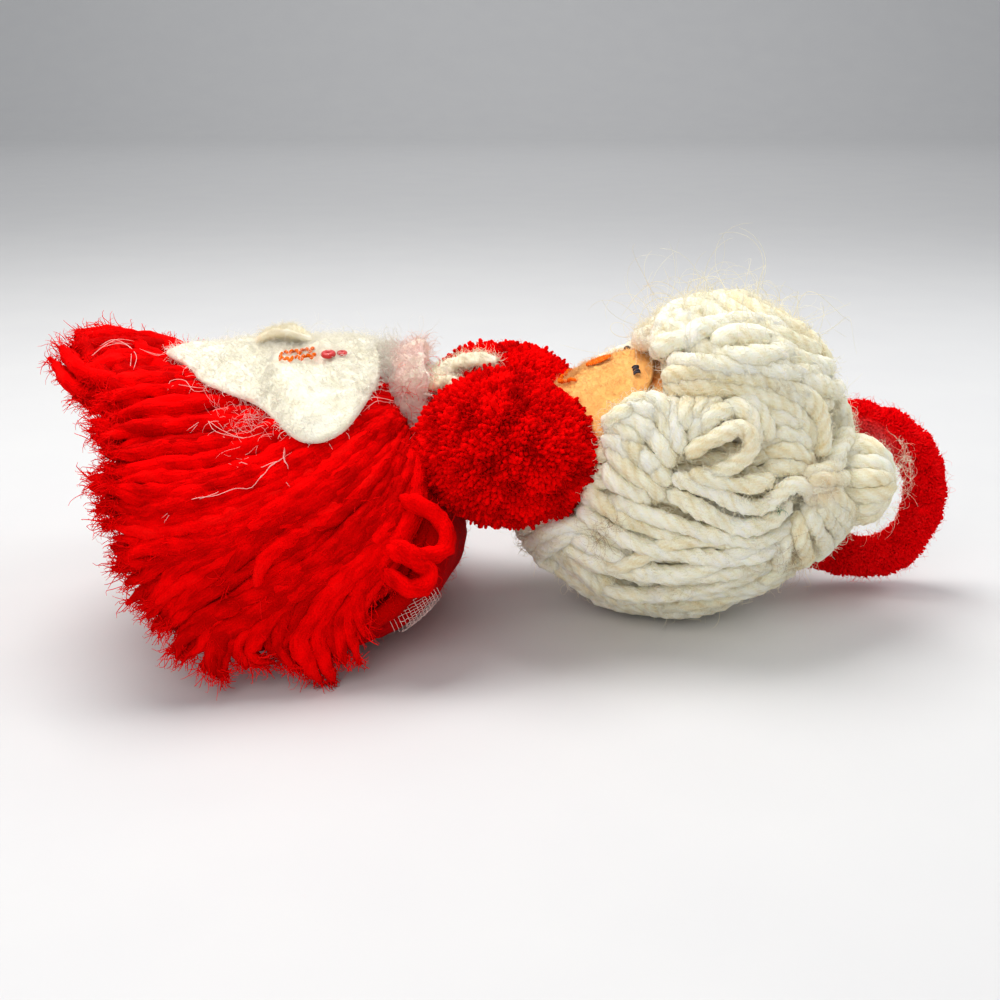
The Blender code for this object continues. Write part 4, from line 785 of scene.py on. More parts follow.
# Gather inside the waist band, in eighteen folds, with painted shade in the valleys between them
turn = around(120)
stations = np.linspace(-0.9, 1.0, 24)
folds = np.abs(np.sin(9.0 * turn))
size = (GATHER_RADIUS * (0.985 + 0.05 * folds)[None]
        * np.sqrt(np.clip(1.0 - np.abs(stations) ** 8, 0.02, 1.0))[:, None])
tube_x = WAIST_X + WAIST_LENGTH * (0.5 + 0.5 * stations)
gather_grid = np.stack((np.broadcast_to(tube_x[:, None], size.shape), size * np.cos(turn),
                        WAIST_Z + size * np.sin(turn)), axis=-1) + SHIFT
gather_out = np.stack((np.zeros_like(size), np.broadcast_to(np.cos(turn), size.shape),
                       np.broadcast_to(np.sin(turn), size.shape)), axis=-1)
add_grid(skirt, gather_grid, gather_out, grooves=np.broadcast_to(1.0 - folds, size.shape))
skirt.make("skirt_yarn", yarn_red, "red_yarn",
           nodes=[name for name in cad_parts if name.startswith(("skirt_lock_", "skirt_eyelet_", "skirt_gather"))])

# Loose fibres at the cut ends
ends = Soup()
tips, tip_ways = np.array(tips), np.array(tip_ways)
picks = np.repeat(np.arange(len(tips)), 24)
spread = unit(tip_ways[picks] + 0.5 * np.random.default_rng(3).normal(size=(len(picks), 3)))
starts = tips[picks] + np.random.default_rng(4).normal(size=(len(picks), 3)) * 0.0005
add_fibres(ends, starts, spread, 2.3 * MM, 0.07 * MM, 0.94, 0.12, 5, points=5)
ends.make("skirt_hem_fibres", fuzz_red, "red_yarn")


def above_floor(points, outs):
    """Skin that isn't against the floor."""
    return (points[:, 2] > 0.002) & (outs[:, 2] > -0.7)


fuzz("skirt_fuzz", [skirt], 12500, 1.0 * MM, 0.045 * MM, fuzz_red, "red_yarn", rise=0.55, curl=0.3, seed=21,
     keep=above_floor)

# Pale wool caught on the near side of the skirt: pixels of the photograph along each fibre
PALE_LINES = (
    ((164, 517), (180, 507), (200, 501), (218, 497), (236, 492), (253, 488), (262, 479), (270, 470), (282, 464)),
    ((228, 471), (243, 470), (258, 472), (270, 468), (288, 461)), ((190, 439), (205, 431), (222, 438), (243, 443),
    (262, 444)),
    ((170, 399), (176, 391), (186, 396), (198, 402), (212, 402)), ((96, 358), (110, 352), (125, 357), (132, 366),
    (131, 384)),
    ((140, 363), (156, 366), (172, 365), (184, 368)), ((284, 455), (280, 466), (290, 471), (284, 482), (287, 495)),
    ((232, 398), (240, 410), (250, 414), (256, 426)), ((236, 436), (248, 440), (262, 434), (276, 437)),
    ((90, 366), (100, 357), (116, 352), (130, 354)), ((352, 420), (366, 409), (378, 405), (390, 410)),
)
pale = Soup()
for number, spots in enumerate(PALE_LINES):
    seats = find_on(yarn_crest, spots, *YARN_SEARCH)
    line = yarn_place(seats[:, 0], seats[:, 1], lock_thickness(seats[:, 0]) + 0.0009)
    for turn_at in range(2):
        waver = np.random.default_rng(300 + 7 * number + turn_at).normal(size=line.shape) * 0.00035
        add_strand(pale, line + waver, 0.038 * MM, 0.7 * MM, 5, tints=0.5, seed=number)
pale_spots = [(dice.normal(254, 15), dice.normal(427, 12)) for _ in range(150)]
seats = find_on(yarn_crest, pale_spots, (0.0, 1.0), (0.0, 5.0))
roots = yarn_place(seats[:, 0], seats[:, 1], lock_thickness(seats[:, 0]) + 0.0004)
add_fibres(pale, roots, normal_on(floor_raw, seats[:, 0], seats[:, 1]), 2.6 * MM, 0.030 * MM, 0.3, 0.5, 305, points=9)
pale.make("skirt_pale_wool", fuzz_pink, "red_yarn")

# ---- stuffed body of the skirt -----------------------------------------------------------------
body = Soup()
along, rib = np.meshgrid(np.linspace(0.0, 1.0, 40), np.concatenate((np.linspace(0.0, 7.0, 60, endpoint=False),
                         np.linspace(-7.0, 0.0, 60, endpoint=False))), indexing="ij")
skin = base_raw(along, rib)
out = normal_on(base_raw, along, rib)
skin = skin - out * (0.0003 + 0.00012 * (1.0 + ripple(skin, 1.6 * MM, 12)))[..., None] + SHIFT
end_centre = skin[-1].mean(axis=0)
closing = [end_centre + (skin[-1] - end_centre) * share for share in (0.8, 0.5, 0.2, 0.01)]
body_grid = np.concatenate((skin, np.array(closing)))
body_out = np.concatenate((out, np.broadcast_to((-1.0, 0.0, 0.0), (4,) + out.shape[1:])))
body_grid[..., 2] = np.maximum(body_grid[..., 2], LOWEST)
add_grid(body, body_grid, body_out)
# The body's felt is painted a darker red as the shade that falls under the strands.
body_item = body.make("skirt_body", felt_red_painted_shade, "red_felt", nodes=["skirt_base"])
fuzz("skirt_body_fuzz", [body], 2500, 1.3 * MM, 0.03 * MM, fuzz_red, "red_felt", seed=31, keep=above_floor)

# Scrap of gauze on the near flank of the body
gauze = Soup()


def body_place(along, rib):
    """Skin of the felt body in the frame."""
    along, rib = np.broadcast_arrays(np.asarray(along, float), np.asarray(rib, float))
    return base_raw(along, rib) + SHIFT


corners = find_on(body_place, ((380, 603), (432, 580), (448, 602), (394, 636)), (0.05, 0.9), (4.2, 6.9))
steps = 12
for share in np.linspace(0.0, 1.0, 15):
    for first, second, third, fourth in ((0, 1, 3, 2), (0, 3, 1, 2)):
        begin = corners[first] + (corners[third] - corners[first]) * share
        finish = corners[second] + (corners[fourth] - corners[second]) * share
        cut = np.random.default_rng(int(share * 97)).uniform((0.0, 0.60), (0.35, 1.0))
        line = begin + (finish - begin) * np.linspace(cut[0], cut[1], steps)[:, None]
        places = body_place(line[:, 0], line[:, 1])
        outs = normal_on(base_raw, line[:, 0], line[:, 1])
        weave = 0.00009 * np.sin(np.arange(steps) * math.pi + share * 60.0)
        add_tubes(gauze, (places + outs * (0.00022 + weave)[:, None])[None], 0.042 * MM, 5, tints=share)
gauze.make("gauze_scrap", fuzz_blush, "white_felt")

# ---- apron, band, petal and stitching ----------------------------------------------------------
# Near half of the apron's outline, as shares along the skirt and ribs round it
APRON_EDGE = ((0.620, 0.0), (0.612, 0.14), (0.578, 0.27), (0.540, 0.42), (0.515, 0.62), (0.500, 0.84), (0.474, 1.06),
              (0.432, 1.31), (0.394, 1.53), (0.370, 1.76), (0.357, 2.02), (0.346, 2.28), (0.331, 2.52), (0.303, 2.68),
              (0.262, 2.77), (0.217, 2.70), (0.157, 2.46), (0.105, 2.10), (0.060, 1.60), (0.025, 1.0), (0.0, 0.5),
              (0.0, 0.0))


def mirrored(half):
    """Closed outline from its near half."""
    return np.vstack((half, half[::-1][1:-1] * (1.0, -1.0)))


def apron_fold(along, rib):
    """Height of the soft fold down each side of the apron."""
    off_fold = (np.abs(rib) - 1.2 - 1.0 * (0.45 - along)) / 0.35
    return 0.0003 * np.exp(-off_fold ** 2) * np.clip(along * 3.0, 0.0, 1.0)


outline = mirrored(curve(APRON_EDGE, 0.06))
apron, apron_area = felt_sheet(apron_base, outline, (0.30, 0.0), APRON_THICK, rings=34, columns=260, seed=41,
                               edge=6.0, uneven=0.00034, fold=apron_fold)
apron_item = apron.make("apron_felt", felt_white, "white_felt", nodes=["apron"],
                        stains_and_painted_light=[((-0.030, -0.006, 0.0405), 0.0035, 0.35), ((-0.050, -0.010, 0.041), 0.004, 0.3)])
apron_fuzz = fuzz("apron_fuzz", [apron], 12500, 1.2 * MM, 0.036 * MM, fuzz_white, "white_felt", rise=0.5, curl=0.35,
                  seed=42)
edge_places = apron_base(outline[:, 0], outline[:, 1])[0]

band = Soup()
turn = around(140)
share = np.linspace(0.0, 1.0, 26)
upward = np.maximum(0.0, np.sin(turn))
flare = (0.0015 + 0.0017 * share[:, None]) * upward ** 1.5
frill = share[:, None] ** 1.5 * (0.0009 * np.sin(6.0 * turn + 0.6) + 0.0006 * np.sin(13.0 * turn + 2.0))
inner = GATHER_RADIUS + GAP + flare + frill
band_x = (WAIST_X + WAIST_LENGTH * (share[:, None] * (1.0 + 0.06 * upward) - 0.11)
          + share[:, None] * (0.0005 * np.sin(3.0 * turn) + 0.0003 * np.sin(11.0 * turn + 1.0)))


def band_ring(radius):
    """Grid of the band at a radius."""
    return np.stack((np.broadcast_to(band_x, radius.shape), radius * np.cos(turn), WAIST_Z + radius * np.sin(turn)),
                    axis=-1) + SHIFT


round_off = np.sqrt(np.clip(1.0 - np.abs(2.0 * share - 1.0) ** 8, 0.0, 1.0))[:, None]
half_thick = 0.0008
thick = half_thick * round_off
middle_radius = inner + half_thick
outer_grid = band_ring(middle_radius + thick + 0.00018 * ripple(band_ring(middle_radius), 2.5 * MM, 55) * round_off)
inner_grid = band_ring(middle_radius - thick)
band_out = np.broadcast_to(np.stack((np.zeros_like(turn), np.cos(turn), np.sin(turn)), -1), outer_grid.shape)
add_grid(band, np.concatenate((outer_grid, inner_grid[::-1])), np.concatenate((band_out, -band_out)), ring=True)
# The pink patches mixed into the band are painted red light, showing through the white felt and thrown back from the
# red wool.
band_item = band.make("waist_band_felt", felt_white, "white_felt", nodes=["waist_band"],
                      stains_and_painted_light=[((-0.0210, -0.005, 0.034), 0.0070, 1.0), ((-0.0190, -0.007, 0.029), 0.0080, 1.0),
                              ((-0.0150, 0.000, 0.038), 0.0050, 0.8)])
# The band's fuzz is pink for the same painted red light.
band_fuzz = fuzz("waist_band_fuzz", [band], 8500, 1.9 * MM, 0.032 * MM, fuzz_blush, "white_felt", seed=52)
# Wool over the seam between the band and the apron
cover = Soup()
points, outs = band.skin()
seam = np.flatnonzero((points[:, 0] < WAIST_X + SHIFT[0] + 0.0022) & (points[:, 2] > WAIST_Z) & (outs[:, 2] > 0.1))
pick = np.random.default_rng(53).choice(seam, 1500)
add_fibres(cover, points[pick], unit(outs[pick] * 0.7 + np.array((-1.0, 0.0, 0.1))), 2.6 * MM, 0.034 * MM, 0.75, 0.35,
           54)
cover.make("waist_band_cover", fuzz_white, "white_felt")

# Wisps of red wool that show between the band's folds
wisps = Soup()
wisp_count = 60
wisp_dice = np.random.default_rng(61)
roots = on_ball([(wisp_dice.uniform(386, 440), wisp_dice.uniform(346, 420)) for _ in range(wisp_count)],
                np.array((WAIST_X + WAIST_LENGTH * 0.5, 0.0, WAIST_Z)) + SHIFT, np.array((0.008, 0.0078, 0.0078)),
                [0.0] * wisp_count)
add_fibres(wisps, roots, unit(roots - np.array((WAIST_X, 0.0, WAIST_Z)) - SHIFT), 2.6 * MM, 0.04 * MM, 0.25, 0.35, 62)
wisps.make("waist_wisps", fuzz_red, "red_yarn")


def on_apron(along, rib, height):
    """Place at a height over the apron's upper side, and the way out."""
    along, rib = np.asarray(along, float), np.asarray(rib, float)
    base, outward = apron_base(along, rib)
    return base + outward * (APRON_THICK + height + apron_fold(along, rib))[..., None], outward


PETAL_HALF_LENGTH = 0.0042
PETAL_HALF_WIDTH = 0.0026
spot, outward = on_apron(0.285, -0.14, 0.0)
ahead = unit(on_apron(0.325, -0.14, 0.0)[0] - spot)
aside = np.cross(outward, ahead)


def petal_place(along, side):
    """Lower side of the curled petal and the way out."""
    bend = np.cos(math.pi * 0.5 * along) * 0.0008 + 0.0010 * side ** 2
    return (spot + ahead * along[..., None] * PETAL_HALF_LENGTH + aside * side[..., None] * PETAL_HALF_WIDTH
            + outward * bend[..., None]), np.broadcast_to(outward, along.shape + (3,))


turn = around(60)
petal_outline = np.column_stack((np.cos(turn) * (1.0 + 0.08 * np.sin(3.0 * turn)), np.sin(turn)))
petal, petal_area = felt_sheet(petal_place, petal_outline, (0.0, 0.0), PETAL_THICK, rings=18, columns=90, seed=71)
# The orange patch mixed in inside the petal's curl is painted shade.
petal_item = petal.make("apron_petal_felt", felt_cream, "cream_felt", nodes=["apron_petal"],
                        stains_and_painted_light=[(spot + ahead * 0.0020 + outward * 0.0014, 0.0024, 1.0)])
petal_fuzz = fuzz("apron_petal_fuzz", [petal], 1500, 1.1 * MM, 0.026 * MM, fuzz_cream, "cream_felt", seed=72)

# Two rows of zigzag, joined at their far end
stitches = Soup()
zig = []
LAST_STITCH = 14
for step in range(LAST_STITCH + 1):
    pace = min(step, LAST_STITCH - step) / 7
    row = 0.0 if step < 7 else (1.0 if step > 7 else 0.5)
    side = 0.25 * (1.0 if step % 2 else -1.0) + wisp_dice.uniform(-0.06, 0.06)
    zig.append(on_apron(0.19 + 0.0044 / SKIRT_LENGTH * pace, 0.48 + (row + side) * 0.0016 / SKIRT_HALF_WIDTH * 5.0,
                        0.0003)[0])
for begin, finish in zip(zig, zig[1:]):
    middle = (begin + finish) * 0.5 + np.array((0.0, 0.0, 0.0003))
    sunk = (0, 0, 0.0002)
    add_strand(stitches, [begin - sunk, middle, finish - sunk], 0.25 * MM, 0.2 * MM, 8, ply=2,
               depth=0.2, pitch=1.4 * MM, tints=float(wisp_dice.random()))
stitches.make("apron_stitches", thread_orange, "orange_thread", nodes=["apron_stitching"])


def bead(name, along, rib, radius, node):
    """Small round bead with a hole, threaded flat on the apron."""
    centre, outward = on_apron(along, rib, radius * 0.72)
    first = unit(np.cross(outward, (1.0, 0.2, 0.0)))
    second = np.cross(outward, first)
    tube_turn = around(28)
    big = around(40)[:, None]
    ring_radius, tube_radius = radius * 0.58, radius * 0.46
    reach = ring_radius + tube_radius * np.cos(tube_turn)
    grid = (centre + reach[..., None] * (np.cos(big)[..., None] * first + np.sin(big)[..., None] * second)
            + (tube_radius * 0.85 * np.sin(tube_turn))[:, None] * outward)
    soup = Soup()
    add_grid(soup, grid, unit(grid - centre), ring=True)
    return soup.make(name, bead_red, "red_bead", nodes=[node])


bead_red = bead_look()
bead("bead_large", 0.160, 0.85, 0.0010, "apron_bead_large")
bead("bead_small", 0.122, 0.82, 0.0007, "apron_bead_small")

# ---- pompoms -----------------------------------------------------------------------------------
POMPOM_TUFTS = 10000
POMPOM_FIBRES = 12500

def even_ball(count):
    """Directions spread evenly over a ball."""
    index = np.arange(count) + 0.5
    height = 1.0 - 2.0 * index / count
    turn = math.pi * (1.0 + 5.0 ** 0.5) * index
    flat = np.sqrt(1.0 - height ** 2)
    return np.column_stack((flat * np.cos(turn), flat * np.sin(turn), height))

def pompom_press(ways, side):
    """How far the strap and the head press a pompom in, as a share of its size."""
    return 0.13 * np.clip((ways @ unit(np.array((0.70, 0.12 * side, 0.68))) - 0.45) / 0.55, 0.0, 1.0) ** 2


def make_pompom(name, side, node_name, seed):
    """Cut wool ends packed round a core, flat where the twins meet."""
    local = np.random.default_rng(seed)
    centre = np.array((POMPOM_X, side * (POMPOM_SEMI[1] + GAP), POMPOM_Z)) + SHIFT
    wall = SHIFT[1] + side * 0.0001
    ease = 0.0085 if side > 0.0 else 0.0100
    ways = unit(even_ball(POMPOM_TUFTS) + local.normal(size=(POMPOM_TUFTS, 3)) * 0.02)
    lumps = (1.0 + 0.014 * ripple(ways, 0.42, seed) + 0.007 * ripple(ways, 0.15, seed + 3)
             + local.uniform(-0.007, 0.006, POMPOM_TUFTS))
    outer = centre + ways * POMPOM_SEMI * (lumps - pompom_press(ways, side))[:, None]
    rise = outer[:, 2] - centre[2]
    outer[:, 2] = centre[2] + np.where(rise > ease, ease + 0.5 * (rise - ease), rise)
    outer[:, 1] = np.where((outer[:, 1] - wall) * side < 0.0, wall, outer[:, 1])
    inner = centre + (outer - centre) * 0.84
    stops = np.array((0.0, 0.55, 0.86, 0.97, 1.0))[None, :, None]
    lean = local.normal(size=(POMPOM_TUFTS, 1, 3)) * 0.0004
    lines = inner[:, None] + (outer - inner)[:, None] * stops + lean * stops
    thick = local.uniform(0.26, 0.37, POMPOM_TUFTS)[:, None] * MM * np.array((0.8, 0.95, 1.0, 0.70, 0.06))
    soup = Soup()
    add_tubes(soup, lines, thick, 4,
              tints=local.uniform(0.0, 0.6, POMPOM_TUFTS) + 0.5 * ripple(ways, 0.3, seed + 4))
    # Core under the tufts, made darker as painted shade deep among them.
    ball = ball_grid(30, 48)
    core = centre + ball * POMPOM_SEMI * (0.945 - pompom_press(ball, side))[..., None]
    core[..., 2] = np.minimum(core[..., 2], centre[2] + ease)
    core[..., 1] = np.where((core[..., 1] - wall) * side < 0.0, wall, core[..., 1])
    add_grid(soup, core, ball, grooves=0.5, tints=0.0)
    soup.make(name, pompom_red, "red_pompom", nodes=[node_name])
    fibres = Soup()
    pick = local.integers(0, POMPOM_TUFTS, POMPOM_FIBRES)
    add_fibres(fibres, outer[pick] - ways[pick] * 0.0006, ways[pick] * (POMPOM_SEMI ** -1) * 0.011, 1.15 * MM,
               0.050 * MM, 0.65, 0.40, seed + 1)
    fibres.make(name + "_fuzz", fuzz_red, "red_pompom")


make_pompom("pompom_near", -1.0, "pompom_left", 81)
make_pompom("pompom_far", 1.0, "pompom_right", 91)


# ---- forked strap ------------------------------------------------------------------------------
def strap_seat(x, y):
    """Place on the pompoms or the waist, whichever is higher, at a place in plan."""
    heights = [np.full(np.shape(x), WAIST_Z + GATHER_RADIUS * 0.85)]
    for side in (-1.0, 1.0):
        across = (y - side * (POMPOM_SEMI[1] + GAP)) / POMPOM_SEMI[1]
        along = (x - POMPOM_X) / POMPOM_SEMI[0]
        heights.append(POMPOM_Z + POMPOM_SEMI[2] * np.sqrt(np.maximum(0.0, 1.0 - across ** 2 - along ** 2)))
    return np.stack((x, y, np.maximum.reduce(heights) + 0.0009), axis=-1) + SHIFT


strap = Soup()

STRAP_SIDES = 22


def strap_arm(spots, widths, seed):
    """Soft felted arm over the pompoms, through pixels of the photograph."""
    seats = find_on(strap_seat, spots, (-0.0135, 0.0085), (-0.0070, 0.0100))
    line = curve(strap_seat(seats[:, 0], seats[:, 1]), 0.35 * MM)
    share = np.linspace(0.0, 1.0, len(line))
    wide = np.interp(share, np.linspace(0.0, 1.0, len(widths)), widths) * MM
    wide = wide * np.sqrt(np.clip(share * 14.0 + 0.02, 0.0, 1.0))
    wide = wide * np.sqrt(np.clip((1.0 - share) * 9.0 + 0.02, 0.0, 1.0))
    add_tubes(strap, line[None], wide[None], STRAP_SIDES, first_up=(0.0, 0.0, 1.0), flat=0.62, tints=0.5,
              bumps=0.00026, seed=seed)


strap_arm(((424, 384), (431, 378), (445, 369), (464, 361), (480, 359), (498, 361)),
          (1.2, 1.45, 1.5, 1.4, 1.35, 1.2), 101)
strap_arm(((426, 386), (436, 383), (448, 382), (462, 383)), (1.2, 1.35, 1.3, 1.1), 102)
strap_root = strap.points[0][:STRAP_SIDES].mean(axis=0)
strap_item = strap.make("chest_strap_felt", felt_cream, "cream_felt", nodes=["chest_strap"],
                        stains_and_painted_light=[(strap_root, 0.0040, 1.0)])
strap_fuzz = fuzz("chest_strap_fuzz", [strap], 1800, 1.3 * MM, 0.028 * MM, fuzz_cream, "cream_felt", seed=103)


def waist_seat(x, angle):
    """Place on the waist band's skin."""
    radius = GATHER_RADIUS + 0.0022
    return np.stack((x, -radius * np.cos(angle), WAIST_Z + radius * np.sin(angle)), axis=-1) + SHIFT


# Threads in the gap between the band and the strap
red_threads, pale_threads = Soup(), Soup()
for number in range(9):
    height = 373.0 + 2.6 * number
    seats = find_on(waist_seat, ((404, height + 3.0), (414, height + 1.0), (424, height), (435, height + 1.0)),
                    (-0.0200, -0.0080), (0.2, 2.2))
    line = waist_seat(seats[:, 0], seats[:, 1]) + np.random.default_rng(320 + number).normal(size=(4, 3)) * 0.0002
    add_strand(red_threads if number % 2 else pale_threads, line, 0.20 * MM, 0.5 * MM, 7, tints=0.6, seed=number)
red_threads.make("waist_threads_red", fuzz_red, "red_yarn")
pale_threads.make("waist_threads_pale", fuzz_white, "white_felt")


# ---- thread ties and the wire ------------------------------------------------------------------
def make_tie(name, foot, radius, turns, node):
    """Plied thread wound round a neck along X."""
    pitch = 2.0 * TIE_RADIUS + 0.0005
    reach = radius + GAP + TIE_RADIUS
    share = np.linspace(0.0, 1.0, round(turns * 24))
    spin = math.tau * turns * share
    path = foot + np.column_stack((0.0007 + pitch * turns * share, reach * np.cos(spin), reach * np.sin(spin)))
    soup = Soup()
    add_strand(soup, path, 0.42 * MM, 0.18 * MM, 10, ply=3, depth=0.25, pitch=1.6 * MM, tints=0.5)
    soup.make(name, thread_pale, "pale_thread", nodes=[node])


low, high = (np.array(corner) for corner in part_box("topknot_core"))
bun_foot = np.array((low[0], (low[1] + high[1]) * 0.5, (low[2] + high[2]) * 0.5))
make_tie("chest_tie_thread", np.array((WAIST_X + WAIST_LENGTH, 0.0, WAIST_Z)) + SHIFT, 0.0015, 2.5, "chest_tie")
make_tie("topknot_tie_thread", bun_foot, 0.0026, 1.0, "topknot_tie")
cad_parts["spine_stem"].data.materials.clear()
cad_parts["spine_stem"].data.materials.append(wire_look())

# ---- head and face -----------------------------------------------------------------------------
head = Soup()
ball = ball_grid(70, 110)
ball_place = HEAD_CENTRE + ball * (HEAD_SEMI + (0.00012 * ripple(ball * 0.02, 2.0 * MM, 111))[..., None])
add_grid(head, ball_place, ball)
head_item = head.make("head_ball", felt_peach, "peach_felt", nodes=["head_core"],
                      stains_and_painted_light=[(on_ball([spot], HEAD_CENTRE, HEAD_SEMI, [0.0])[0], 0.0030, 0.7)
                              for spot in ((655, 366), (660, 384), (668, 398))])


def head_way(polar, turn):
    """Unit direction from degrees off the crown and degrees round from the doll's right side."""
    return sphere(np.radians(polar), np.radians(turn))


def face_place(polar, turn):
    """Lower side of the face felt and the way out."""
    way = head_way(polar, 90.0 + turn)
    return HEAD_CENTRE + way * (HEAD_SEMI + GAP * 1.5), unit(way / HEAD_SEMI)


face_outline = mirrored(curve(FACE_OUTLINE, 2.0))
face, face_area = felt_sheet(face_place, face_outline, (128.0, 0.0), FACE_THICK, rings=30, columns=160, seed=121,
                             uneven=0.00016, edge=2.6)
hairline = [(HEAD_CENTRE + head_way(107.0, angle) * HEAD_SEMI, 0.006, 0.28) for angle in (70.0, 110.0)]
face_item = face.make("face_felt_sheet", felt_peach, "peach_felt", nodes=["face_felt"], stains_and_painted_light=hairline)
face_fuzz = fuzz("face_fuzz", [face], 6500, 0.9 * MM, 0.024 * MM, fuzz_peach, "peach_felt", rise=0.55, curl=0.35,
                 seed=122)

FACE_TOP = GAP * 2.5 + 0.0010
THREAD_LIFT = 0.0003
for name, side in (("eye_left", 1.0), ("eye_right", -1.0)):
    way = head_way(105.5, 90.0 + side * 22.5)
    centre = HEAD_CENTRE + way * (HEAD_SEMI + FACE_TOP + THREAD_LIFT)
    outward = unit(way / HEAD_SEMI)
    first = unit(np.cross(outward, (0.0, 1.0, 0.0)))
    second = np.cross(outward, first)
    knot = Soup()
    for number in range(5):
        pace = (number - 2) / 2.0
        lean = unit(first + 0.7 * math.sin(2.3 * number) * second)
        middle = centre + second * (pace * 0.0008 + 0.0001 * math.sin(7.0 * number))
        arch = 0.00045 * (1.0 - 0.35 * abs(pace))
        stitch = [middle + lean * (0.00046 * math.sin(angle)) - outward * 0.0002 + outward * (arch * math.cos(angle))
                  for angle in np.linspace(-1.8, 1.8, 9)]
        add_strand(knot, stitch, 0.16 * MM, 0.12 * MM, 8, ply=2, depth=0.2, pitch=1.0 * MM, tints=0.2 + 0.15 * number)
    knot.make(name + "_knot", thread_black, "black_thread", nodes=[name])

way = head_way(118.0, 90.0)
outward = unit(way / HEAD_SEMI)
aside = np.array((0.0, 1.0, 0.0))
ahead = np.cross(aside, outward)
nose_centre = HEAD_CENTRE + way * (HEAD_SEMI + FACE_TOP + THREAD_LIFT)
nose = Soup()
for number in range(13):
    pace = (number - 6) / 6.5
    reach = 0.0016 * math.sqrt(1.0 - pace ** 2)
    bar = [nose_centre + ahead * pace * 0.0019 + aside * reach * math.sin(angle)
           + outward * (0.0002 * math.cos(angle) * math.sqrt(1.0 - 0.6 * pace ** 2) - 0.0002)
           for angle in np.linspace(-1.7, 1.7, 9)]
    add_strand(nose, bar, 0.21 * MM, 0.16 * MM, 8, ply=2, depth=0.15, pitch=1.3 * MM,
               tints=0.2 + 0.6 * (number % 3) / 2)
nose.make("nose_stitches", thread_orange, "orange_thread", nodes=["nose"])

mouth = Soup()
half = math.degrees(0.0038 / 0.0175)
for number in range(6):
    shares = np.array((-1.0 + number / 3.0, -1.0 + (number + 0.5) / 3.0, -1.0 + (number + 1.02) / 3.0))
    ways = head_way(135.0 - 7.0 * shares ** 2, 90.0 + half * shares)
    lifts = np.array((-0.0001, 0.0004, -0.0001))[:, None]
    add_strand(mouth, HEAD_CENTRE + ways * (HEAD_SEMI + FACE_TOP + lifts), 0.28 * MM, 0.16 * MM, 8, ply=2, depth=0.18,
               pitch=1.4 * MM, tints=0.2 + 0.1 * number)
mouth.make("mouth_stitches", thread_orange, "orange_thread", nodes=["mouth_stitch"])

# ---- hair --------------------------------------------------------------------------------------
HAIR_RADIUS = 1.25 * MM
ROLL_RADIUS = 1.55 * MM
HAIR_STEP = 0.45 * MM
HAIR_PITCH = 8.5 * MM
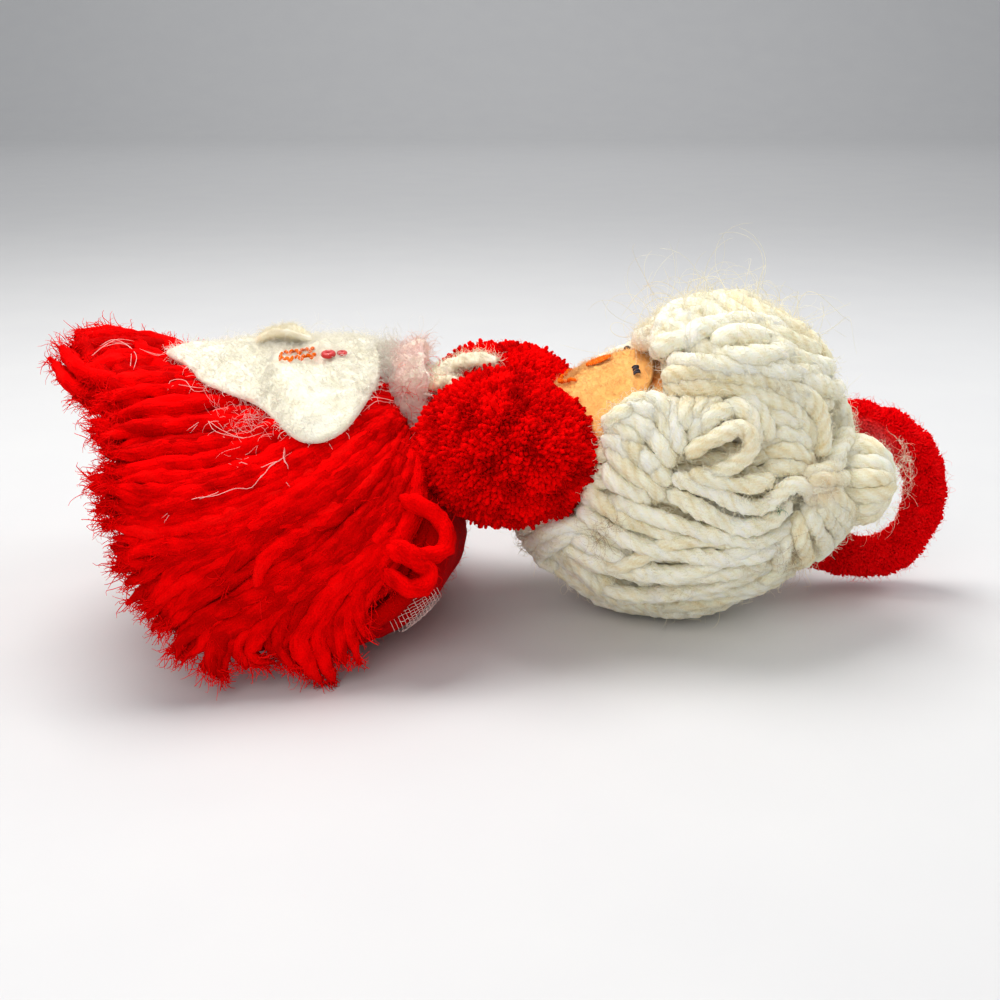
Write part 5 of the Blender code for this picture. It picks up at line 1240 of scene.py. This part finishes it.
# Strands traced in the photograph: height over the head in millimetres, how far the first and the last end dip,
# and the pixels that each passes through
TRACES = {
    "R1": (4.6, 0.5, 1.5, ((661, 358), (665, 324), (688, 308), (728, 297), (768, 296), (797, 306), (821, 322),
        (832, 348), (830, 366))),
    "R2": (5.6, 1.0, 1.0, ((671, 342), (688, 321), (720, 310), (754, 308), (789, 316), (808, 332), (816, 350))),
    "R3": (6.3, 1.0, 1.0, ((688, 348), (698, 332), (728, 324), (757, 324), (781, 332), (795, 342))),
    "R4": (6.8, 1.0, 1.0, ((712, 350), (728, 337), (754, 337), (779, 344))),
    "R5": (6.4, 1.5, 1.5, ((704, 350), (741, 358), (779, 353), (805, 350))),
    "R6": (5.7, 1.5, 1.5, ((666, 361), (704, 364), (741, 369), (781, 374), (816, 372), (830, 361))),
    "R7": (5.0, 1.5, 2.0, ((661, 377), (688, 374), (728, 374), (768, 382), (795, 393), (816, 409), (821, 431),
        (819, 458))),
    "R8": (3.8, 1.0, 1.5, ((663, 388), (693, 387), (730, 389), (765, 397), (790, 410), (805, 428), (811, 446))),
    "R10": (6.4, 1.5, 1.5, ((752, 291), (790, 290), (822, 298), (843, 314), (853, 338), (850, 362))),
    "R11": (5.0, 1.5, 1.5, ((796, 298), (824, 308), (842, 326), (847, 350), (842, 374))),
    "R9": (5.4, 1.5, 1.5, ((655, 352), (668, 344), (684, 341), (700, 350))),
    "S1": (4.4, 1.0, 1.5, ((832, 372), (848, 385), (858, 404), (855, 428), (838, 452), (821, 470))),
    "S2": (2.6, 1.0, 1.5, ((824, 377), (836, 390), (838, 415), (836, 436), (830, 455), (819, 468))),
    "S3": (4.0, 0.5, 1.0, ((840, 366), (856, 380), (864, 402), (862, 426), (850, 446))),
    "P1": (3.2, 1.2, 1.2, ((618, 420), (629, 407), (645, 401), (661, 415), (671, 436), (677, 455))),
    "P14": (3.1, 1.2, 1.2, ((610, 426), (624, 421), (638, 422), (652, 436), (660, 448))),
    "P13": (3.6, 1.2, 1.2, ((622, 413), (634, 408), (648, 410), (662, 424))),
    "P2": (3.8, 1.2, 1.2, ((642, 404), (655, 398), (666, 409), (674, 431))),
    "P3": (4.0, 1.2, 1.2, ((671, 398), (674, 415), (678, 436), (682, 455))),
    "P4": (4.3, 1.2, 1.2, ((688, 398), (685, 415), (685, 431))),
    "P5": (4.2, 1.2, 1.2, ((704, 398), (698, 412), (690, 428))),
    "P6": (3.3, 1.2, 1.2, ((639, 420), (653, 436), (666, 455), (671, 468))),
    "P7": (2.9, 1.2, 1.2, ((618, 428), (629, 444), (642, 458), (661, 474), (671, 484))),
    "P8": (2.7, 1.2, 1.2, ((607, 441), (618, 458), (634, 474), (650, 484), (666, 498))),
    "P9": (2.5, 1.2, 1.2, ((604, 463), (615, 482), (634, 492), (653, 503))),
    "P10": (3.1, 1.2, 1.2, ((634, 447), (650, 463), (666, 476))),
    "C1": (5.2, 1.5, 1.5, ((688, 458), (698, 447), (720, 436), (738, 428), (750, 436), (749, 452), (736, 463),
        (714, 474), (696, 474))),
    "C2": (4.4, 1.5, 1.0, ((722, 409), (736, 407), (749, 417), (754, 431), (752, 447))),
    "C3": (3.8, 1.5, 1.0, ((730, 402), (746, 400), (759, 411), (766, 426), (770, 441))),
    "C4": (4.4, 1.2, 1.2, ((700, 436), (708, 421), (722, 412), (738, 414))),
    "C5": (4.0, 1.2, 1.2, ((694, 446), (697, 428), (708, 408), (720, 400))),
    "Q1": (3.4, 1.2, 1.2, ((757, 418), (779, 418), (797, 424), (808, 436))),
    "Q2": (3.2, 1.2, 1.2, ((760, 436), (784, 434), (803, 441), (811, 452))),
    "Q3": (3.1, 1.2, 1.2, ((762, 453), (787, 450), (803, 456), (809, 467))),
    "Q4": (3.0, 1.2, 1.2, ((762, 470), (787, 467), (803, 471), (811, 480))),
    "M1": (4.6, 1.5, 1.5, ((671, 476), (693, 484), (714, 492), (736, 503), (754, 508), (770, 503), (781, 492),
        (795, 484), (808, 490), (811, 503), (803, 514))),
    "M2": (4.9, 1.5, 1.5, ((688, 474), (714, 480), (736, 485), (756, 484), (772, 478))),
    "M3": (4.1, 1.5, 1.5, ((666, 491), (698, 508), (720, 520), (741, 527), (762, 524), (779, 514), (789, 500))),
    "M4": (3.4, 1.2, 1.5, ((612, 498), (639, 511), (671, 522), (704, 532), (730, 538), (757, 541), (779, 531),
        (795, 513))),
    "L1": (3.4, 1.2, 1.5, ((578, 508), (596, 522), (623, 538), (650, 548), (682, 554), (714, 558), (741, 558),
        (768, 551), (789, 536), (803, 518))),
    "L2": (3.1, 1.2, 1.5, ((564, 540), (580, 554), (607, 565), (639, 573), (671, 575), (709, 574), (741, 568),
        (764, 560))),
    "L3": (2.9, 1.2, 1.5, ((546, 566), (562, 582), (588, 592), (620, 596), (661, 594), (704, 588), (736, 578),
        (762, 566))),
    "L4": (2.8, 1.0, 1.0, ((518, 580), (512, 562), (512, 545), (522, 529), (542, 519), (567, 511))),
    "L5": (3.0, 1.0, 1.2, ((546, 584), (536, 570), (541, 553), (562, 538), (586, 527))),
    "L6": (2.2, 1.0, 1.2, ((572, 590), (612, 604), (650, 605), (688, 600), (722, 590))),
    "L7": (3.0, 1.0, 1.5, ((530, 577), (524, 562), (528, 546), (546, 532), (572, 524), (600, 530))),
    "L8": (2.2, 1.0, 1.5, ((585, 488), (600, 502), (622, 516), (650, 528), (684, 538), (716, 545))),
    "N1": (5.5, 1.5, 1.0, ((814, 484), (826, 500), (840, 513), (852, 527), (856, 541))),
    "N2": (5.0, 1.5, 1.0, ((812, 492), (824, 512), (837, 530), (847, 546), (846, 559))),
    "N3": (4.6, 1.2, 1.0, ((806, 500), (814, 524), (824, 544), (832, 560), (829, 573))),
    "N4": (4.2, 1.2, 1.0, ((797, 510), (800, 536), (806, 556), (808, 574))),
    "K1": (5.0, 2.0, 1.0, ((803, 476), (815, 473), (829, 469), (842, 459))),
    "K2": (5.0, 2.0, 1.0, ((802, 488), (815, 486), (830, 489), (844, 499))),
    "K3": (5.6, 2.0, 1.0, ((806, 482), (818, 479), (832, 479), (845, 478))),
    "N6": (6.0, 1.8, 1.0, ((818, 482), (836, 497), (851, 511), (860, 526))),
    "P0": (3.6, 1.5, 1.5, ((605, 428), (613, 419), (628, 411), (646, 404))),
    "P11": (3.2, 1.2, 1.2, ((606, 434), (617, 428), (630, 436), (642, 450))),
    "P12": (3.0, 1.2, 1.2, ((604, 446), (612, 440), (624, 450), (638, 462))),
    "N5": (3.6, 1.2, 1.0, ((784, 528), (782, 552), (778, 576))),
}
# Strands over the forehead that are seen on one side only
TOP_TRACES = ("R1", "R2", "R3", "R4", "R5", "R6", "R9")


def hair_strand(soup, places, seed, radius=HAIR_RADIUS, sides=16, step=HAIR_STEP):
    """One strand of plied cream yarn."""
    local = np.random.default_rng(seed)
    add_strand(soup, places, radius * local.uniform(0.93, 1.08), step, sides, swell=0.08, seed=seed, ply=4,
               depth=0.15, pitch=HAIR_PITCH * local.uniform(0.9, 1.15), tints=local.uniform(0.2, 0.9),
               phase=local.uniform(0.0, 6.28), bumps=0.00011)


def dip(pace, share):
    """One at a strand's start, fading to nothing at a share of its length."""
    return np.clip(1.0 - pace / share, 0.0, 1.0)


# Upper edge of the hair in the photograph
HAIR_EDGE = np.array(((600, 360), (620, 352), (640, 338), (655, 322), (672, 308), (690, 297), (715, 291), (740, 289),
                      (765, 291), (790, 298), (812, 310), (828, 325), (838, 345), (848, 372), (862, 395),
                      (870, 430)), float)


def tuck(places):
    """Places pulled towards the head until they appear under the hair's upper edge in the photograph."""
    places = np.array(places)
    for _ in range(14):
        seen = to_photo(places)
        inward = places - HAIR_CENTRE
        over = seen[:, 1] < np.interp(seen[:, 0], HAIR_EDGE[:, 0], HAIR_EDGE[:, 1]) + 9.0
        over &= np.linalg.norm(inward / HAIR_SEMI, axis=1) > 1.02
        places = np.where(over[:, None], HAIR_CENTRE + inward * 0.985, places)
    return places


hair_near, hair_far, hair_top, hair_back = Soup(), Soup(), Soup(), Soup()
MIRROR = np.array((1.0, -1.0, 1.0))
MIDDLE_PLANE = np.array((0.0, SHIFT[1], 0.0))
seed = 200
for name, (height, dip_first, dip_last, spots) in TRACES.items():
    seed += 5
    pace = np.linspace(0.0, 1.0, len(spots))
    heights = (height - dip_first * dip(pace, 0.22) - dip_last * dip(1.0 - pace, 0.22)) * MM
    places = on_ball(spots, HAIR_CENTRE, HAIR_SEMI, heights)
    if name.startswith("R"):
        hair_strand(hair_top, tuck(places), seed, radius=ROLL_RADIUS)
    else:
        hair_strand(hair_near, places, seed)
    if name not in TOP_TRACES:
        hair_strand(hair_far, (places - MIDDLE_PLANE) * MIRROR + MIDDLE_PLANE, seed + 2)

# Far half of the wound roll over the forehead: reach from its middle and height of each turn, in millimetres
roll_middle = head_way(62.0, 90.0)
roll_first = unit(np.cross(roll_middle, (1.0, 0.0, 0.0)))
roll_second = np.cross(roll_middle, roll_first)
for number, (reach, height) in enumerate(((13.6, 2.6), (13.0, 4.8), (10.8, 5.4), (8.4, 6.0), (6.0, 6.4), (3.6, 6.7),
                                          (11.6, 3.2), (1.4, 6.2))):
    turns = np.radians(np.linspace(-70.0, 215.0, 14) if number < 2 else np.linspace(-20.0, 250.0, 14))
    places = []
    for turn_at in turns:
        far_side = math.cos(turn_at) * roll_first + math.sin(turn_at) * roll_second
        angle = reach * MM / HAIR_MEAN_RADIUS
        way = math.cos(angle) * roll_middle + math.sin(angle) * far_side
        places.append(HAIR_CENTRE + unit(way) * (HAIR_SEMI + height * MM))
    hair_strand(hair_top, tuck(places), 500 + number, radius=ROLL_RADIUS)

# Matted wool under the strands, open only at the face, darkened as painted shade under the strands
cap_turns = np.linspace(0.0, 360.0, 180, endpoint=False)
cap_end = np.interp(cap_turns, (0, 18, 34, 146, 162, 205, 215, 345, 360), (132, 132, 98, 98, 132, 132, 148, 148, 132))
cap_start = 8.0
cap_polars = cap_start + (cap_end - cap_start) * np.linspace(0.0, 1.0, 60)[:, None]
cap_ways = head_way(cap_polars, np.broadcast_to(cap_turns, cap_polars.shape))
cap_heights = 0.0007 + 0.00025 * ripple(cap_ways * 0.02, 1.2 * MM, 560)
add_grid(hair_back, HAIR_CENTRE + cap_ways * (HAIR_SEMI + cap_heights[..., None]), cap_ways, tints=0.2, grooves=0.35)

# Layer of strands that run from the topknot over the whole head
BACK = {"sides": 12, "step": 0.6 * MM}
count = 58
for number in range(count):
    turn_at = 360.0 * number / count
    local = np.random.default_rng(600 + number)
    start_polar = (24.0, 38.0)[number % 2] + local.uniform(-3.0, 3.0)
    if 24.0 < turn_at < 156.0:
        end_polar = 98.0
    else:
        end_polar = 132.0 if turn_at < 30.0 or 150.0 < turn_at < 200.0 else 150.0
    end_polar += local.uniform(-4.0, 4.0)
    pace = np.linspace(0.0, 1.0, 12)
    polars = start_polar + (end_polar - start_polar) * pace
    turns = turn_at + 7.0 * ripple(pace[:, None], 0.8, 700 + number) * np.sin(math.pi * pace)
    heights = (1.25 + 0.35 * ripple(pace[:, None], 0.6, 800 + number)) * MM
    places = HAIR_CENTRE + head_way(polars, turns) * (HAIR_SEMI + heights[:, None])
    hair_strand(hair_back, tuck(places), 900 + number, **BACK)
# Looser strands over the back of the head, wound across the layer below
for number in range(15):
    local = np.random.default_rng(1000 + number)
    turn_at = 206.0 + 128.0 * number / 14.0
    pace = np.linspace(0.0, 1.0, 9)
    polars = 30.0 + local.uniform(-4.0, 6.0) + (112.0 + local.uniform(-10.0, 6.0)) * pace
    swing = local.uniform(-26.0, 26.0)
    turns = turn_at + swing * np.sin(math.pi * pace) + 6.0 * ripple(pace[:, None], 0.7, 1100 + number)
    heights = (2.9 + 0.4 * ripple(pace[:, None], 0.6, 1200 + number) - 1.2 * dip(1.0 - pace, 0.2)
               - 1.0 * dip(pace, 0.2)) * MM
    places = HAIR_CENTRE + head_way(polars, turns) * (HAIR_SEMI + heights[:, None])
    places[:, 2] = np.maximum(places[:, 2], 0.0014)
    hair_strand(hair_back, places, 1300 + number, **BACK)

# Flat coil under the topknot, so that the crown has no bare place
pace = np.linspace(0.0, 1.0, 60)
coil = HAIR_CENTRE + head_way(2.0 + 27.0 * pace, 1260.0 * pace) * (HAIR_SEMI + 0.0002)
hair_strand(hair_back, coil, 1480, **BACK)

# Tan patches blended into the hair round these pixels
tan_patches = [(on_ball([spot], HAIR_CENTRE, HAIR_SEMI, [height])[0], radius, strength)
               for spot, height, radius, strength in (
                   ((822, 482), 0.005, 0.0035, 0.8), ((690, 390), 0.003, 0.0045, 0.45),
                   ((816, 520), 0.003, 0.0030, 0.35), ((748, 440), 0.004, 0.0040, 0.25))]
hair_top.make("hair_roll", yarn_cream, "cream_yarn", nodes=["forehead_roll"], stains_and_painted_light=tan_patches)
hair_near.make("hair_near_side", yarn_cream, "cream_yarn", nodes=["side_curl_left", "cheek_lock_left"],
               stains_and_painted_light=tan_patches)
hair_far.make("hair_far_side", yarn_cream, "cream_yarn", nodes=["side_curl_right", "cheek_lock_right"])
hair_back.make("hair_back", yarn_cream, "cream_yarn",
               nodes=[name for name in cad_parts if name.startswith(("hair_lock_", "crown_strand_"))],
               stains_and_painted_light=tan_patches)

# ---- topknot -----------------------------------------------------------------------------------
low, high = (np.array(corner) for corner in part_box("topknot_winding"))
bun_centre = (low + high) * 0.5 + (-0.0030, 0.0, 0.0020)
bun_semi = (high - low) * 0.5 - 0.70 * MM
BUN_TRACES = (
    (0.2, ((819, 470), (828, 452), (846, 440), (866, 440))),
    (0.5, ((818, 488), (832, 512), (850, 524), (868, 524))),
)
bun = Soup()
for number, (height, spots) in enumerate(BUN_TRACES):
    places = on_ball(spots, bun_centre, bun_semi, [height * MM] * len(spots))
    hair_strand(bun, places, 1500 + number)
    mirrored = places.copy()
    mirrored[:, 1] = 2.0 * bun_centre[1] - places[:, 1]
    hair_strand(bun, mirrored, 1520 + number)
crown_way = np.array((1.0, 0.0, 0.0))
for number in range(7):
    angle = math.pi * (number + 0.3) / 7.0
    tilt = np.array((0.0, math.cos(angle), math.sin(angle)))
    reach = bun_semi + 0.0002 - 0.00035 * (number % 2)
    places = [bun_centre + (math.cos(turn_at) * crown_way + math.sin(turn_at) * tilt) * reach
              for turn_at in np.linspace(-2.7, 2.7, 18)]
    hair_strand(bun, places, 1540 + number, radius=1.38 * MM, sides=14, step=0.5 * MM)
neck = [bun_foot + np.array((-0.0012, 0.0, 0.0)), bun_foot + np.array((0.0012, 0.0, 0.0)), bun_centre]
add_strand(bun, neck, 2.3 * MM, 0.5 * MM, 24, ply=7, depth=0.16, pitch=14.0 * MM, tints=0.3)
bun.make("topknot", yarn_cream, "cream_yarn", nodes=["topknot_core", "topknot_winding"], stains_and_painted_light=tan_patches)

fuzz("hair_fuzz_near", [hair_top, hair_near], 15500, 1.5 * MM, 0.034 * MM, fuzz_cream, "cream_yarn", rise=0.5,
     curl=0.35, seed=131, keep=above_floor)
fuzz("hair_fuzz_far", [hair_far, hair_back, bun], 15500, 1.4 * MM, 0.034 * MM, fuzz_cream, "cream_yarn", rise=0.5,
     curl=0.35, seed=141, keep=above_floor)

# Long stray fibres round the head
strays = Soup()
add_scattered(strays, [hair_top], 170, 7.5 * MM, 0.040 * MM, 0.55, 0.5, 151, 16,
              keep=lambda points, outs: (points[:, 2] > 0.040) & (outs[:, 2] > 0.2))
add_scattered(strays, [hair_near, bun, hair_back], 230, 5.5 * MM, 0.040 * MM, 0.4, 0.5, 153, 16, keep=above_floor)
strays.make("hair_strays", fuzz_cream, "cream_yarn")
# Brown tangles by the tie and the cheek
tangle = Soup()
local = np.random.default_rng(161)
for patch, number in ((((602, 530), (7, 6)), 60), (((792, 556), (8, 6)), 80), (((826, 498), (6, 6)), 90)):
    add_caught(tangle, local, patch, number, (HAIR_CENTRE, HAIR_SEMI, 0.0040), (3.0 * MM, 0.020 * MM, 0.18, 0.6),
               162 + number, 12)
tangle.make("hair_tangle", fuzz_brown, "cream_yarn")

# Specks of green lint in the hair
lint = Soup()
for spot, number, height in (((800, 334), 14, 0.0066), ((779, 510), 12, 0.0056)):
    roots = on_ball([spot] * number, HAIR_CENTRE, HAIR_SEMI, [height] * number)
    roots = roots + np.random.default_rng(number).normal(size=roots.shape) * 0.0002
    add_fibres(lint, roots, unit(roots - HAIR_CENTRE), 1.0 * MM, 0.035 * MM, 0.4, 0.5, 170 + number)
lint.make("hair_lint", fuzz_green, "cream_yarn")

# ---- chenille loop -----------------------------------------------------------------------------
rise = unit(LOOP_HIGH - LOOP_LOW)
reach_out = np.cross((0.0, 1.0, 0.0), rise)
route = [LOOP_LOW + reach_out * LOOP_REACH * share_out + (LOOP_HIGH - LOOP_LOW) * share_up
         for share_out, share_up in ARCH]


def chenille(name, path, radius, body, node, seed, stains_and_painted_light=()):
    """Cut pile all round a twisted core."""
    line = curve(path, 0.5 * MM)
    local = np.random.default_rng(seed)
    soup = Soup()
    add_strand(soup, path, radius * 0.80, 0.5 * MM, 22, ply=2, depth=0.12, pitch=5.0 * MM, tints=0.3, bumps=0.00025,
               seed=seed)
    count = int(len(line) * 95)
    index = local.integers(1, len(line) - 1, count)
    ahead = unit(line[index + 1] - line[index - 1])
    out = unit(np.cross(ahead, local.normal(size=(count, 3))))
    length = radius * (0.30 + 0.06 * ripple(line[index], 2.5 * MM, seed + 1) + local.uniform(-0.05, 0.05, count))
    start_at = line[index] + out * radius * 0.70 + ahead * local.uniform(-0.25, 0.25, count)[:, None] * MM
    lean = unit(out + 0.35 * local.normal(size=(count, 3)))
    stops = np.array((0.0, 0.5, 0.9, 1.0))[None, :, None]
    lines = start_at[:, None] + lean[:, None] * length[:, None, None] * stops
    thick = local.uniform(0.13, 0.22, count)[:, None] * MM * np.array((1.0, 1.0, 0.8, 0.1))
    add_tubes(soup, lines, thick, 4, tints=local.uniform(0.0, 1.0, count))
    item = soup.make(name, loop_red, "red_chenille", body, [node], stains_and_painted_light)
    fibres = Soup()
    pick = local.integers(0, count, count // 6)
    add_fibres(fibres, lines[pick, 2], lean[pick], 1.3 * MM, 0.030 * MM, 0.6, 0.3, seed + 2)
    fibres.make(name + "_fuzz", fuzz_red, "red_chenille", body)
    return item


pale_root = [((0.0485, 0.004, 0.020), 0.007, 0.8)]
chenille("chenille_loop", route, LOOP_RADIUS, "hanger", "hanger_loop", 171, pale_root)
ROOT_RADIUS = 0.0031
for name, end, node, seed in (("chenille_root_low", LOOP_LOW, "hanger_root_lower", 181),
                              ("chenille_root_high", LOOP_HIGH, "hanger_root_upper", 191)):
    outer = end + reach_out * 0.0009
    inward = outer - HEAD_CENTRE
    inner = HEAD_CENTRE + inward / np.linalg.norm(inward / HEAD_SEMI) - unit(inward) * 0.0024
    chenille(name, [inner, (inner + outer) * 0.5, outer - reach_out * 0.0006, outer], ROOT_RADIUS, "doll", node, seed)

# Pale wool caught on the loop where it comes out of the hair
caught = Soup()
local = np.random.default_rng(195)
add_caught(caught, local, ((880, 512), (9, 10)), 70, (bun_centre, bun_semi, 0.002),
           (3.0 * MM, 0.022 * MM, 0.3, 0.5), 196, 10)
add_caught(caught, local, ((903, 470), (8, 15)), 110, (bun_centre, bun_semi + 0.0012, 0.0022),
           (1.8 * MM, 0.019 * MM, 0.3, 0.4), 197, 9)
caught.make("caught_wool", fuzz_cream, "cream_yarn")

# ---- loose fibres round the skirt and the apron ------------------------------------------------
loose = Soup()
add_scattered(loose, [skirt], 260, 3.6 * MM, 0.030 * MM, 0.4, 0.45, 201, 10,
              keep=lambda points, outs: (points[:, 2] > 0.004) & ((points[:, 0] < -0.045) | (outs[:, 1] < -0.3)))
loose.make("skirt_strays", fuzz_red, "red_yarn")
wool = Soup()
add_scattered(wool, [apron], 240, 3.2 * MM, 0.024 * MM, 0.45, 0.5, 203, 10, keep=lambda points, outs: outs[:, 2] > 0.2)
add_scattered(wool, [band], 120, 4.2 * MM, 0.024 * MM, 0.7, 0.45, 205, 12)
wool.make("apron_strays", fuzz_white, "white_felt")
